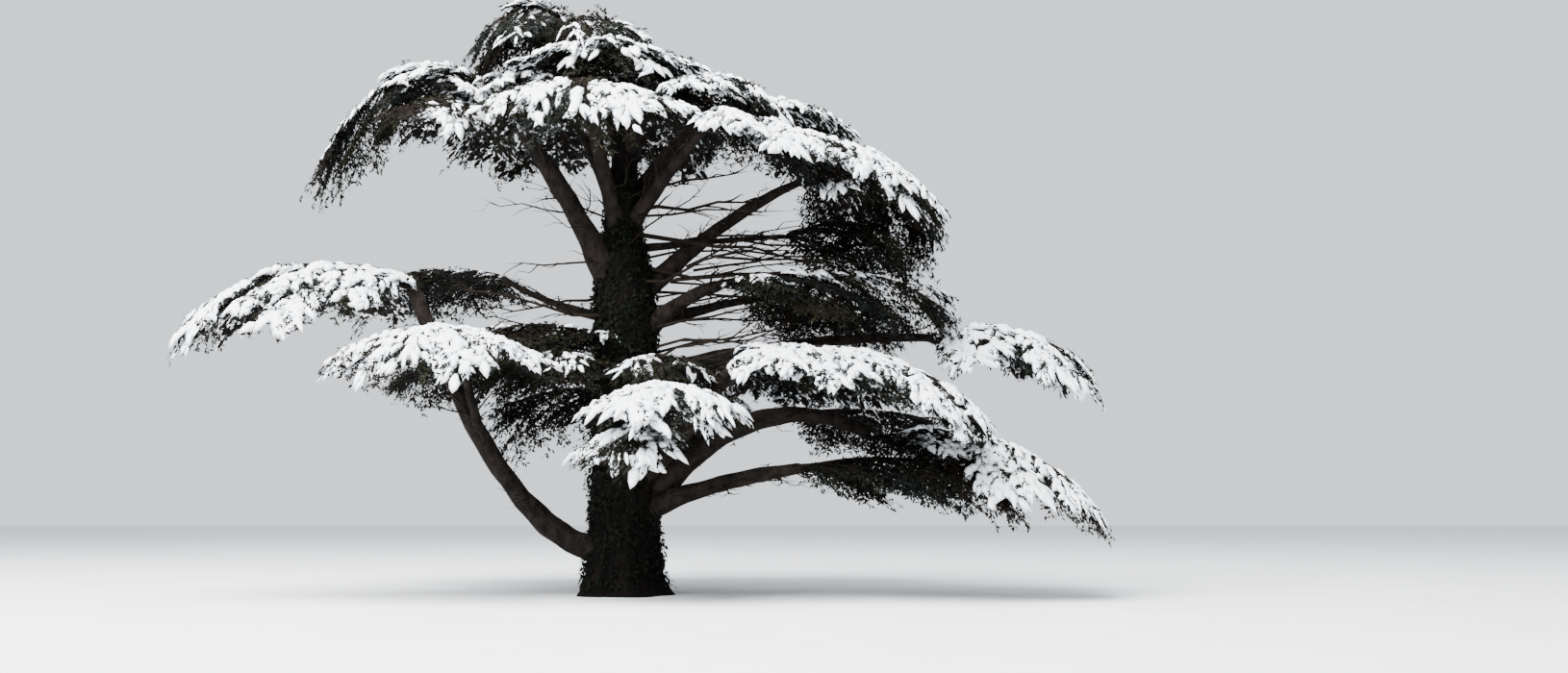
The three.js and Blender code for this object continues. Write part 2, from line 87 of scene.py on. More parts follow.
class Tier(Enum):
    """The parts of the crown that are joined into pieces of their own."""

    TOP = "top"
    UPPER_RIGHT = "upper_right"
    LEFT = "left"
    RIGHT = "right"
    LOW_RIGHT = "low_right"
    BACK = "back"


# Curves, as the source draws them


def unit(vectors: Array) -> Array:
    """Vectors scaled to length 1, along the last axis."""
    return vectors / np.maximum(np.linalg.norm(vectors, axis=-1, keepdims=True), 1e-12)


def heading(bearing: float) -> Array:
    """The level direction of a bearing in degrees, from +X towards +Y."""
    return np.array([math.cos(math.radians(bearing)), math.sin(math.radians(bearing)), 0.0])


def bent(start: Array, middle: Array, end: Array, t: Array) -> Array:
    """Points at shares t of quadratic curves from start to end, drawn towards middle."""
    return (1 - t) ** 2 * start + 2 * t * (1 - t) * middle + t**2 * end


class Curve:
    """A path through space, with shares along it from 0 to 1."""

    def at(self, shares: Array | float) -> Array:
        """Points on the path.

        Args:
            shares: one share, or an array of them.

        Returns:
            One point, or an array with a row for each share.
        """
        raise NotImplementedError

    def tangent(self, shares: Array | float) -> Array:
        """Directions along the path, taken over a short step as the source takes them.

        Args:
            shares: one share, or an array of them.

        Returns:
            A direction for each share.
        """
        step = 1e-4
        ahead = self.at(np.minimum(1.0, np.asarray(shares) + step))
        behind = self.at(np.maximum(0.0, np.asarray(shares) - step))
        return unit(ahead - behind)

    def length(self, samples: int) -> float:
        """The curve's length, measured from point to point of a number of samples."""
        line = self.at(np.linspace(0, 1, samples))
        return float(np.linalg.norm(np.diff(line, axis=0), axis=1).sum())


@dataclass(frozen=True)
class Bow(Curve):
    """A quadratic curve from start to end, drawn towards middle."""

    start: Array
    middle: Array
    end: Array

    def at(self, shares: Array | float) -> Array:
        """Points on the bow."""
        return bent(self.start, self.middle, self.end, np.asarray(shares, float)[..., None])


class Spline(Curve):
    """A smooth curve through points, whose steps are spaced by the root of their distance."""

    def __init__(self, points: Sequence[Array]) -> None:
        """Works out the cubic of each span.

        Args:
            points: the points that the curve runs through.
        """
        p = np.asarray(points, float)
        p = np.vstack([2 * p[0] - p[1], p, 2 * p[-1] - p[-2]])
        dt = np.sqrt(np.linalg.norm(np.diff(p, axis=0), axis=1))[:, None]
        before, after = p[:-1], p[1:]
        slope = (after - before) / dt
        wide = (p[2:] - p[:-2]) / (dt[:-1] + dt[1:])
        bend = slope[:-1] - wide + slope[1:]
        start, end = p[1:-2], p[2:-1]
        leave, arrive = bend[:-1] * dt[1:-1], bend[1:] * dt[1:-1]
        squared = 3 * (end - start) - 2 * leave - arrive
        cubed = 2 * (start - end) + leave + arrive
        self.terms = (start, leave, squared, cubed)
        self.spans = len(start)

    def at(self, shares: Array | float) -> Array:
        """Points on the spline.

        Args:
            shares: one share, or an array of them.

        Returns:
            A point for each share.
        """
        place = np.asarray(shares, float) * self.spans
        span = np.clip(np.floor(place).astype(int), 0, self.spans - 1)
        t = (place - span)[..., None]
        c0, c1, c2, c3 = (term[span] for term in self.terms)
        return c0 + t * (c1 + t * (c2 + t * c3))


def repeatable(seed: int) -> Iterator[float]:
    """The source's own supply of numbers from 0 to 1.

    Args:
        seed: where the supply starts.

    Yields:
        The next number.
    """
    mask = 0xFFFFFFFF
    while True:
        seed = (seed + 0x6D2B79F5) & mask
        mixed = ((seed ^ (seed >> 15)) * (seed | 1)) & mask
        mixed ^= (mixed + (((mixed ^ (mixed >> 7)) * (mixed | 61)) & mask)) & mask
        yield (mixed ^ (mixed >> 14)) / (mask + 1)


# Meshes gathered in bulk


@dataclass
class Batch:
    """Vertices and faces gathered for one piece, with a finish number for each face."""

    name: str
    points: list[Array] = field(default_factory=list)
    triangles: list[Array] = field(default_factory=list)
    finishes: list[Array] = field(default_factory=list)
    count: int = 0

    def add(self, points: Array, faces: Array, finish: int | Array = 0) -> None:
        """Adds copies of one pattern of faces.

        Args:
            points: an array of copies by vertices by 3.
            faces: the triangles of one copy.
            finish: the finish number of all of them, or one number for each triangle of a copy.
        """
        copies, each = points.shape[:2]
        if not copies:
            return
        starts = self.count + each * np.arange(copies)[:, None, None]
        self.points.append(points.reshape(-1, 3))
        self.triangles.append((faces[None] + starts).reshape(-1, 3))
        self.finishes.append(np.tile(np.broadcast_to(np.int32(finish), len(faces)), copies))
        self.count += copies * each

    def piece(self, materials: Sequence[bpy.types.Material], smooth: bool) -> bpy.types.Object:
        """Makes the piece and links it to the scene.

        Args:
            materials: its finishes, in the order of their numbers.
            smooth: whether its faces are shaded as one round surface.

        Returns:
            The new object.
        """
        points, triangles = np.concatenate(self.points), np.concatenate(self.triangles)
        mesh = bpy.data.meshes.new(self.name)
        mesh.vertices.add(len(points))
        mesh.loops.add(3 * len(triangles))
        mesh.polygons.add(len(triangles))
        for material in materials:
            mesh.materials.append(material)
        for part, name, values in (
            (mesh.vertices, "co", points.astype(np.float32).ravel()),
            (mesh.loops, "vertex_index", triangles.astype(np.int32).ravel()),
            (mesh.polygons, "loop_start", 3 * np.arange(len(triangles), dtype=np.int32)),
            (mesh.polygons, "material_index", np.concatenate(self.finishes)),
            (mesh.polygons, "use_smooth", np.full(len(triangles), smooth)),
        ):
            part.foreach_set(name, values)
        mesh.update(calc_edges=True)
        thing = bpy.data.objects.new(self.name, mesh)
        bpy.context.scene.collection.objects.link(thing)
        log.info("%s: %d triangles", self.name, len(triangles))
        return thing


def ring_faces(sides: int, rings: int) -> Array:
    """The triangles between rings, whose corners run to the left as seen against the rings' way.

    Args:
        sides: the corners of each ring.
        rings: how many rings there are.

    Returns:
        The triangles, ring after ring of vertices.
    """
    a = (np.arange(rings - 1)[:, None] * sides + np.arange(sides)).ravel()
    b = (np.arange(rings - 1)[:, None] * sides + (np.arange(sides) + 1) % sides).ravel()
    return np.concatenate([np.stack([a, b, b + sides], 1), np.stack([a, b + sides, a + sides], 1)])


def bar_faces(sides: int, rings: int) -> Array:
    """The faces of a closed bar: a flat foot, rings of a few sides, and a point at its tip.

    Args:
        sides: the corners of each ring.
        rings: how many rings come before the point.

    Returns:
        Triangles, where the ring's corners run in order and the point is the last vertex.
    """
    last = (rings - 1) * sides
    foot = [(0, k + 1, k) for k in range(1, sides - 1)]
    tip = [(last + k, last + (k + 1) % sides, rings * sides) for k in range(sides)]
    return np.concatenate([foot, ring_faces(sides, rings), tip])


def bars(
    spine: Array,
    aside: Array,
    above: Array,
    corners: Sequence[tuple[float, float]],
    scale: Array,
) -> Array:
    """The vertices of many bars at once.

    Args:
        spine: bars by stations by 3, the last station being the point.
        aside, above: bars by 3, the sideways and the upward direction of each.
        corners: the section's corners, as shares aside and above, seen from the tip end.
        scale: bars by stations but the last by 2, the half width and the height there.

    Returns:
        Bars by vertices by 3.
    """
    count, stations = spine.shape[:2]
    rings = spine[:, :-1, None, :]
    offset = np.array(corners) * scale[:, :, None]
    made = rings + offset[..., :1] * aside[:, None, None] + offset[..., 1:] * above[:, None, None]
    return np.concatenate([made.reshape(count, (stations - 1) * len(corners), 3), spine[:, -1:]], axis=1)


def add_twigs(batch: Batch, line: Array, aside: Array, above: Array, radius: Array) -> None:
    """Adds three-sided twigs that taper to a point.

    Args:
        batch: what they are added to.
        line: twigs by stations by 3.
        aside, above: twigs by 3, the sideways and the upward direction of each.
        radius: their radius at each station but the last, or twigs by those stations.
    """
    rings = line.shape[1] - 1
    scale = np.broadcast_to(radius[..., None], (len(line), rings, 2))
    batch.add(bars(line, aside, above, TWIG_SECTION, scale), bar_faces(len(TWIG_SECTION), rings))


# Finishes


def linear(code: str) -> tuple[float, float, float, float]:
    """Turns an sRGB hex colour to the linear one that Blender works in.

    Args:
        code: six hex digits after a hash.

    Returns:
        Red, green, blue and 1.
    """
    parts = [int(code[i : i + 2], 16) / 255 for i in (1, 3, 5)]
    made = [p / 12.92 if p <= 0.04045 else ((p + 0.055) / 1.055) ** 2.4 for p in parts]
    return (made[0], made[1], made[2], 1.0)


def node(
    tree: bpy.types.NodeTree, kind: str, settings: dict[str, object] | None = None, **links: object
) -> bpy.types.Node:
    """Adds a shader node.

    Args:
        tree: the tree that it goes in.
        kind: Blender's name for the node's type.
        settings: properties of the node, and values of its inputs by name or number.
        links: inputs by name, with underscores for spaces, and the output socket that feeds each.

    Returns:
        The new node.
    """
    made = tree.nodes.new(kind)
    for key, value in (settings or {}).items():
        if isinstance(key, str) and hasattr(made, key) and key not in made.inputs:
            setattr(made, key, value)
        else:
            made.inputs[key].default_value = value
    for key, socket in links.items():
        name = key.replace("_", " ")
        place = made.inputs[int(name[5:])] if name.startswith("input") else made.inputs[name]
        tree.links.new(socket, place)
    return made


@dataclass(frozen=True)
class Finish:
    """A surface whose colour wanders between two tones, with a grain that also lifts it."""

    name: str
    tones: tuple[str, str]
    roughness: float
    grain_mm: float
    relief_mm: float
    stretch: tuple[float, float, float] = (1.0, 1.0, 1.0)
    specular: float = 0.5
    detail: float = 3.0
    # The patches' size against the grain's, and the pattern's values that show the two tones pure.
    patch: float = 5.0
    ramp: tuple[float, float] = (0.36, 0.64)

    def material(self) -> bpy.types.Material:
        """Builds the material.

        Returns:
            A matt surface whose pattern has grains of the stated size.
        """
        made = bpy.data.materials.new(self.name)
        made.use_nodes = True
        tree = made.node_tree
        tree.nodes.clear()
        place = node(tree, "ShaderNodeTexCoord").outputs["Object"]
        drawn = node(tree, "ShaderNodeMapping", {"Scale": self.stretch}, Vector=place).outputs[0]
        coarse = self.patch * self.grain_mm
        grain, patches = (
            node(tree, "ShaderNodeTexNoise", {"Scale": 1000 / mm, "Detail": fine}, Vector=drawn).outputs[0]
            for mm, fine in ((self.grain_mm, self.detail), (coarse, 1.0))
        )
        half = node(tree, "ShaderNodeMath", {"operation": "MULTIPLY", 1: 0.5}, input0=grain).outputs[0]
        mean = {"operation": "MULTIPLY_ADD", 1: 0.5}
        mixed = node(tree, "ShaderNodeMath", mean, input0=patches, input2=half).outputs[0]
        colour = node(tree, "ShaderNodeValToRGB", Fac=mixed)
        for stop, at, tone in zip(colour.color_ramp.elements, self.ramp, self.tones):
            stop.position, stop.color = at, linear(tone)
        lift = {"Strength": 0.8, "Distance": self.relief_mm / 1000}
        raised = node(tree, "ShaderNodeBump", lift, Height=grain).outputs["Normal"]
        surface = {"Roughness": self.roughness, "Specular IOR Level": self.specular}
        base = colour.outputs["Color"]
        shader = node(tree, "ShaderNodeBsdfPrincipled", surface, Base_Color=base, Normal=raised)
        node(tree, "ShaderNodeOutputMaterial", Surface=shader.outputs["BSDF"])
        return made


# Cedar bark is fissured into small upright plates. Old wood is grey-brown and dry, so it is matt.
TRUNK_BARK = Finish("trunk_bark_weathered", ("#050404", "#110e0c"), 0.92, 60, 14, (1, 1, 0.28), 0.06, 5.0)
# The limbs' bark is smoother than the trunk's, and browner in patches.
LIMB_BARK = Finish("limb_bark_weathered", ("#090807", "#231d19"), 0.9, 45, 8, (1, 1, 0.6), 0.1, 4.0)
# Twigs are this year's and last year's wood: thin bark, darker than the limbs'.
TWIG_BARK = Finish("twig_bark_young", ("#0e0b08", "#1e1711"), 0.88, 30, 2, specular=0.1)
# Settled snow is white and matt, and its grains show only as a faint lumpy shading.
SNOW = Finish("snow_settled", ("#e6ebf2", "#f8fafc"), 0.72, 90, 22, specular=0.3)
# Needles grow in tufts with a waxy skin: dark green, with bluer and browner sprays among them.
NEEDLES = (
    Finish("needles_deep_green", ("#060805", "#10140c"), 0.7, 40, 1, specular=0.08),
    Finish("needles_blue_green", ("#070a08", "#111613"), 0.7, 40, 1, specular=0.08),
    Finish("needles_olive", ("#0a0b05", "#18180b"), 0.7, 40, 1, specular=0.08),
    # The browner finish also paints shade on the undersides of the lumps of snow.
    Finish("needles_shaded_brown", ("#0a0805", "#15100b"), 0.75, 40, 1, specular=0.06),
)
# Ivy leaves are leathery, with a faint gloss on a very dark green.
IVY_LEAF = Finish("ivy_leaf_evergreen", ("#040603", "#0c1108"), 0.62, 80, 3, specular=0.06)
# The studio floor is matt and pale.
FLOOR = Finish("floor_matt_pale", ("#dcdee0", "#e4e6e8"), 0.95, 900, 1, specular=0.1)


# The trunk and the limbs


@dataclass(frozen=True)
class Limb:
    """A limb of the source: where it leaves its carrier, its bearing and reach, and its girth."""

    name: str
    leaves: float
    bearing: float
    reach: float
    tip: float
    bow: float
    foot: float
    end: float
    parent: str = "trunk"
    split: bool = False

    @property
    def nodes(self) -> tuple[str, ...]:
        """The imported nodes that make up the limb."""
        return (self.name + "_foot", self.name + "_arm") if self.split else (self.name,)


LIMBS = (
    Limb("low_left_bough", 1.25, 198, 5.95, 8.3, -1.98, 0.4, 0.19, split=True),
    Limb("left_front_bough", 0.68, 213, 5.0, 6.7, -0.1, 0.15, 0.105, parent="low_left_bough"),
    Limb("left_back_bough", 7.9, 139, 5.8, 9.7, -0.25, 0.15, 0.085),
    Limb("back_low_left_bough", 5.0, 138, 4.0, 7.35, 0.25, 0.26, 0.13),
    Limb("upper_left_bough", 8.1, 200, 3.05, 13.0, 0.3, 0.4, 0.21),
    Limb("left_stem", 9.7, 226, 1.45, 13.5, 0.1, 0.26, 0.15),
    Limb("top_right_bough", 12.7, 350, 1.0, 14.55, 0.1, 0.17, 0.11),
    Limb("right_fork_bough", 10.3, 327, 2.9, 13.3, 0.15, 0.24, 0.13),
    Limb("upper_right_bough", 8.1, 3, 5.0, 12.0, 0.4, 0.31, 0.12),
    Limb("right_under_bough", 9.9, 12, 4.6, 10.5, 0.04, 0.115, 0.07),
    Limb("right_mid_bough", 6.9, 347, 2.7, 8.75, 0.3, 0.3, 0.16),
    Limb("right_far_bough", 6.1, 1, 8.8, 7.35, 0.35, 0.24, 0.11),
    Limb("back_right_bough", 7.4, 40, 4.3, 8.85, 0.1, 0.22, 0.12),
    Limb("right_arch_bough", 1.9, 354, 7.0, 4.5, 1.6, 0.42, 0.17, split=True),
    Limb("right_low_bough", 2.15, 342, 5.2, 3.5, 0.2, 0.33, 0.16),
    Limb("right_front_bough", 2.9, 329, 3.7, 6.4, -0.3, 0.34, 0.16),
    Limb("right_back_bough", 3.7, 22, 5.0, 5.2, 0.25, 0.26, 0.12),
    Limb("front_bough", 3.9, 289, 2.9, 5.4, 0.0, 0.26, 0.14),
    Limb("front_low_bough", 3.1, 286, 3.3, 4.45, -0.2, 0.19, 0.095),
    Limb("back_low_bough", 4.7, 84, 3.2, 6.6, 0.1, 0.28, 0.14),
    Limb("back_low_right_bough", 5.3, 46, 4.2, 7.1, 0.1, 0.26, 0.13),
    Limb("back_upper_left_bough", 10.5, 134, 3.0, 14.7, 0.2, 0.24, 0.13),
    Limb("back_upper_bough", 11.2, 84, 2.1, 14.8, 0.15, 0.19, 0.11),
    Limb("back_upper_right_bough", 10.9, 44, 3.2, 14.9, 0.25, 0.24, 0.13),
)


def furrows(angle: Array, along: Array, plates: int, seed: float) -> Array:
    """How far bark stands out, from -1 in a fissure to about 0.4 on a plate.

    Args:
        angle: the angle round the limb.
        along: the distance along it in metres.
        plates: how many plates there are round it.
        seed: shifts the pattern, so that no two limbs are alike.

    Returns:
        The height at each place.
    """
    wander = 0.9 * np.sin(1.7 * along + seed) + 0.6 * np.sin(4.3 * along + 2.3 * seed + 2 * angle)
    ridge = np.abs(np.sin(0.5 * (plates * angle + wander * 1.6)))
    breaks = np.abs(np.sin(3.1 * along + 1.4 * np.sin(3 * angle + seed) + 0.9 * np.sin(7 * angle)))
    return 1.4 * np.minimum(ridge, 0.35 + 0.65 * breaks) ** 0.6 - 1.0


@dataclass
class Timber:
    """The trunk and limbs, with the relief of their bark."""

    # The trunk's heart from its foot to its tip, and its radius at heights.
    line: tuple[tuple[float, float, float], ...] = (
        *((0, 0, 0), (0, 0, 4.0), (-0.06, 0, 8.0), (-0.16, 0.04, 10.6)),
        *((-0.24, 0.04, 12.8), (-0.76, 0.02, 14.6), (-1.48, 0, 16.25)),
    )
    heights: tuple[float, ...] = (0, 1.5, 4.0, 7.6, 9.0, 10.2, 11.8, 13.6, 16.25)
    radii: tuple[float, ...] = (1.04, 1.01, 0.93, 0.9, 0.83, 0.56, 0.38, 0.26, 0.1)
    # The root flare: how far it stands out, its height, its lobes, and how deep they are.
    flare_width: float = 0.33
    flare_height: float = 0.42
    flare_roots: int = 5
    flare_depth: float = 0.32
    # The trunk's mesh, the depth of its fissures, and the plates of bark round it.
    trunk_sides: int = 96
    trunk_rings: int = 150
    fissure: float = 0.035
    plates: int = 34
    # How much a limb swells where it leaves the trunk, and how far out the swelling lasts.
    collar: float = 0.5
    collar_reach: float = 0.7
    curves: dict[str, Curve] = field(default_factory=dict)
    tips: dict[str, float] = field(default_factory=dict)

    def __post_init__(self) -> None:
        """Draws the heart of the trunk and the curve of every limb."""
        self.heart = Spline([np.array(p) for p in self.line]).at(np.linspace(0, 1, 201))
        for limb in LIMBS:
            carrier = self.curves.get(limb.parent)
            start = carrier.at(limb.leaves) if carrier else self.heart_at(limb.leaves)
            tip = heading(limb.bearing) * limb.reach + UP * limb.tip
            self.curves[limb.name] = Bow(start, (start + tip) / 2 + UP * 2 * limb.bow, tip)
            self.tips[limb.name] = limb.end

    def heart_at(self, height: float) -> Array:
        """The middle of the trunk at a height.

        Args:
            height: the height in metres.

        Returns:
            The point.
        """
        after = max(1, int(np.argmax(self.heart[:, 2] >= height)))
        low, high = self.heart[after - 1], self.heart[after]
        return low + (high - low) * (height - low[2]) / (high[2] - low[2])

    def radius_at(self, height: Array | float, angle: Array | float) -> Array:
        """The trunk's radius, with its root flare.

        Args:
            height, angle: a place on the trunk, or arrays of places.

        Returns:
            The radius at each.
        """
        flare = self.flare_width * np.exp(-np.asarray(height) / self.flare_height)
        lobes = 1 + self.flare_depth * np.cos(self.flare_roots * np.asarray(angle) + 0.6)
        return np.interp(height, self.heights, self.radii) + flare * lobes

    def trunk(self) -> Batch:
        """Builds the trunk, with rings closer together at its foot.

        Returns:
            The trunk as one batch.
        """
        batch = Batch("trunk_bark")
        heights = self.line[-1][2] * np.linspace(0, 1, self.trunk_rings) ** 1.25
        angles = np.linspace(0, 2 * math.pi, self.trunk_sides, endpoint=False)
        height, angle = np.meshgrid(heights, angles, indexing="ij")
        radius = self.radius_at(height, -angle)
        depth = self.fissure * np.clip(radius / 0.9, 0.25, 1)
        radius = radius + depth * furrows(angle, height, self.plates, 0.7)
        hearts = np.array([self.heart_at(h) if h > 0 else self.heart[0] for h in heights])
        ring = np.stack([np.cos(angle), np.sin(angle), np.zeros_like(angle)], axis=-1)
        self.tube(batch, hearts[:, None] + ring * radius[..., None])
        return batch

    def tube(self, batch: Batch, rings: Array) -> None:
        """Adds a closed tube.

        Args:
            batch: what it is added to.
            rings: rings by sides by 3, running to the left as seen against the way they follow.
        """
        count, sides = rings.shape[:2]
        end = count * sides
        foot = [(end, (k + 1) % sides, k) for k in range(sides)]
        top = [(end + 1, end - sides + k, end - sides + (k + 1) % sides) for k in range(sides)]
        points = np.concatenate([rings.reshape(-1, 3), [rings[0].mean(0), rings[-1].mean(0)]])
        batch.add(points[None], np.concatenate([ring_faces(sides, count), foot, top]))

    def rod(
        self, batch: Batch, curve: Curve, radius: Callable[[Array], Array], sides: int, seed: float
    ) -> None:
        """Adds a limb with bark along a curve.

        Args:
            batch: what it is added to.
            curve: the limb's heart.
            radius: gives its radius at each share along.
            sides: how many sides it has.
            seed: shifts the bark's pattern.
        """
        length = curve.length(20)
        shares = np.linspace(0, 1, max(6, int(length / 0.2)))
        ahead = curve.tangent(shares)
        aside = unit(np.stack([-ahead[:, 1], ahead[:, 0], np.zeros(len(ahead))], 1))
        above = np.cross(ahead, aside)
        angles = np.linspace(0, 2 * math.pi, sides, endpoint=False)
        far, angle = np.meshgrid(shares * length, angles, indexing="ij")
        wide = radius(shares)[:, None]
        lumps = 1 + 0.06 * np.sin(2.1 * far + seed) + 0.05 * np.sin(5.3 * far + 3 * angle + seed)
        wide = wide * lumps + 0.05 * wide * furrows(angle, far, max(8, sides // 2), seed)
        ring = np.cos(angle)[..., None] * aside[:, None] + np.sin(angle)[..., None] * above[:, None]
        self.tube(batch, curve.at(shares)[:, None] + ring * wide[..., None])

    def limbs(self) -> Batch:
        """Builds every limb, swollen where it leaves the trunk.

        Returns:
            The limbs as one batch.
        """
        batch = Batch("bough_bark")
        for number, limb in enumerate(LIMBS):

            def radius(shares: Array, limb: Limb = limb) -> Array:
                """The limb's radius, with its collar."""
                collar = self.collar * np.exp(-shares * limb.reach / self.collar_reach)
                plain = limb.foot + (limb.end - limb.foot) * shares**0.8
                return plain * (1 + collar * (limb.parent == "trunk"))

            sides = 20 if limb.foot > 0.2 else 12
            self.rod(batch, self.curves[limb.name], radius, sides, 1.3 * number)
        return batch


# The dead limbs of the crown's inside: where each starts, where it ends, and its radius.
DEAD_LIMBS = (
    (0.1, -0.2, 11.0, 4.3, -0.9, 11.3, 0.075), (0.2, -0.4, 10.3, 6.2, -1.2, 9.4, 0.085),
    (0.7, -0.3, 9.3, 6.6, -1.0, 8.7, 0.07), (0.0, 0.1, 11.6, 3.6, 1.2, 12.6, 0.06),
    (0.3, 0.2, 10.1, 5.4, 2.2, 10.9, 0.06), (0.5, -0.5, 8.9, 4.7, -2.6, 9.9, 0.055),
    (1.9, 0.0, 9.3, 6.9, 0.9, 10.3, 0.05), (-0.3, -0.4, 9.5, -3.4, -1.4, 9.2, 0.045),
    (-0.3, -0.2, 10.7, -2.9, -1.0, 11.8, 0.04), (-0.6, -0.5, 7.9, -4.8, -1.6, 8.5, 0.06),
    (-0.5, 0.2, 8.6, -4.2, 1.4, 8.2, 0.06), (0.3, -0.5, 10.8, 4.9, -2.2, 10.6, 0.045),
    (0.9, -0.4, 8.9, 7.4, -1.6, 9.3, 0.05), (1.2, 0.3, 9.0, 6.2, 1.8, 8.9, 0.04),
    (1.7, -0.1, 9.4, 5.6, -1.4, 10.9, 0.04), (0.1, -0.5, 10.0, 2.8, -2.4, 11.7, 0.035),
    (-0.4, -0.5, 10.2, -2.6, -1.9, 10.6, 0.03), (-1.4, 0.0, 11.0, -4.4, -0.6, 11.3, 0.035),
    (2.4, 0.0, 9.7, 7.9, 0.4, 9.9, 0.045), (0.9, -0.7, 6.6, 4.6, -1.9, 7.6, 0.045),
    (0.9, -0.6, 5.2, 5.4, -1.9, 6.2, 0.05), (0.9, -0.5, 4.6, 6.1, -1.0, 5.3, 0.045),
    (2.6, 0.0, 9.7, 8.2, -0.9, 9.1, 0.05), (3.2, -0.1, 10.2, 8.4, -0.3, 9.6, 0.045),
    (1.4, -0.3, 9.0, 6.9, -2.0, 9.6, 0.04), (0.5, 0.2, 9.7, 5.9, 0.6, 10.2, 0.045),
    (0.8, 0.2, 8.7, 7.2, 1.2, 8.3, 0.05), (-0.2, -0.3, 11.3, 2.4, -1.6, 12.5, 0.035),
    (0.9, -0.4, 7.6, 5.0, -1.9, 8.3, 0.05), (0.9, -0.3, 8.2, 5.6, -0.9, 8.7, 0.045),
    (0.9, -0.5, 7.0, 5.6, -2.1, 7.5, 0.05), (0.9, 0.3, 7.9, 5.2, 1.5, 8.2, 0.05),
    (0.8, -0.6, 6.3, 4.6, -2.8, 7.1, 0.045), (0.8, 0.2, 6.9, 6.0, 1.0, 7.9, 0.05),
    (0.9, -0.1, 8.5, 4.3, -1.4, 9.2, 0.035), (1.6, -0.4, 7.2, 6.8, -1.0, 7.0, 0.045),
    (-0.8, -0.4, 7.2, -4.4, -1.1, 7.8, 0.045), (-0.8, -0.3, 7.8, -5.2, -0.8, 8.8, 0.045),
    (-0.8, -0.5, 6.7, -3.8, -2.0, 7.1, 0.04), (-0.8, 0.2, 6.9, -4.6, 1.1, 7.6, 0.045),
    (-0.7, -0.5, 5.6, -3.4, -1.5, 6.1, 0.035),
)


@dataclass
class BareTwigs:
    """The leafless twigs of the crown's inside, where no light reaches, and a few dead limbs."""

    timber: Timber
    # How far apart the twigs leave a limb, and their radius at the foot, in metres.
    pitch: float = 0.36
    radius: float = 0.038
    # How far they stray from their line, and the shares along them where twiglets leave.
    crook: float = 0.045
    forks: tuple[float, ...] = (0.2, 0.35, 0.5, 0.65, 0.8)

    def batch(self, rng: Rng) -> Batch:
        """Grows the twigs from the limbs, and twiglets from the twigs.

        Args:
            rng: a seeded supply of numbers.

        Returns:
            All of them as one batch.
        """
        made = Batch("bare_twigs")
        roots, ways, lengths, thick = [], [], [], []
        for limb in LIMBS:
            curve = self.timber.curves[limb.name]
            count = int(limb.reach / self.pitch)
            shares = 0.22 + 0.72 * (np.arange(count) + rng.random(count)) / count
            ahead = curve.tangent(shares)
            aside = unit(np.cross(UP[None], ahead)) * np.where(np.arange(count) % 2, 1.0, -1.0)[:, None]
            lean = UP * rng.uniform(-0.35, 0.45, (count, 1))
            ways.append(unit(ahead * rng.uniform(0.5, 1.3, (count, 1)) + aside + lean))
            roots.append(curve.at(shares))
            lengths.append(rng.uniform(0.8, 2.2, count))
            thick.append(np.full(count, self.radius) * rng.uniform(0.6, 1.1, count))
        start, end, girth = np.split(np.array(DEAD_LIMBS), (3, 6), axis=1)
        roots.append(start)
        ways.append(unit(end - start))
        lengths.append(np.linalg.norm(end - start, axis=1))
        thick.append(girth[:, 0])
        root, way = np.concatenate(roots), np.concatenate(ways)
        length, radius = np.concatenate(lengths), np.concatenate(thick)
        line = self.shoots(made, root, way, length, radius, 6, rng)
        for share in self.forks:
            step = share * (line.shape[1] - 1)
            low = int(step)
            spot = line[:, low] + (line[:, low + 1] - line[:, low]) * (step - low)
            aside = unit(np.cross(UP[None], way)) * rng.choice([-1.0, 1.0], (len(way), 1))
            turned = unit(way + aside + rng.normal(0, 0.3, way.shape))
            short = np.minimum(1.2, length * rng.uniform(0.2, 0.4, len(way)))
            self.shoots(made, spot, turned, short, radius * 0.45, 4, rng)
        return made

    def shoots(
        self,
        batch: Batch,
        root: Array,
        way: Array,
        length: Array,
        radius: Array,
        stations: int,
        rng: Rng,
    ) -> Array:
        """Adds crooked shoots.

        Args:
            batch: what they are added to.
            root, way: where each starts, and its direction.
            length, radius: its length, and its radius at its foot.
            stations: the points along it.
            rng: a seeded supply of numbers.

        Returns:
            Their lines, shoots by stations by 3.
        """
        place = np.linspace(0, 1, stations)
        line = root[:, None] + way[:, None] * (length[:, None] * place)[..., None]
        crook = rng.normal(0, self.crook, line.shape) * np.sqrt(length)[:, None, None]
        crook[:, 0] = 0
        line = line + crook
        aside = unit(np.cross(UP[None], way))
        add_twigs(batch, line, aside, np.cross(way, aside), radius[:, None] * (1 - 0.75 * place[:-1]))
        return line


# The shelves of foliage


@dataclass(frozen=True)
class Shelf:
    """A shelf of the source: its bearing and sizes, how it hangs, its snow, and what carries it."""

    part: str
    tier: Tier
    bearing: float
    length: float
    width: float
    rise: float
    fall: float
    left: float
    right: float
    layers: int
    pairs: int
    snow: float
    # The height at which it leaves the trunk, or the limb that carries it, if not its namesake.
    height: float = 0.0
    limb: str = ""
    # The share of it, from its foot, that a shelf above keeps bare.
    bare: float = 0.0

    @property
    def name(self) -> str:
        """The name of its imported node."""
        return f"{self.part}_shelf"

    @property
    def skirt(self) -> float:
        """How far below its slope its snowless foliage reaches: it is thickest in high shelves."""
        if self.layers > 2:
            return 0.35
        return 0.95 if self.tier in (Tier.TOP, Tier.UPPER_RIGHT) else 0.5

    def snow_at(self, u: float, lift: float) -> float:
        """The snow of a frond that ends at u, much less of it under another frond or shelf."""
        share = float(np.interp(u, (self.bare - 0.15, self.bare + 0.15), (0.25, 1.0)))
        return self.snow * (0.25 if lift < -0.3 else share)


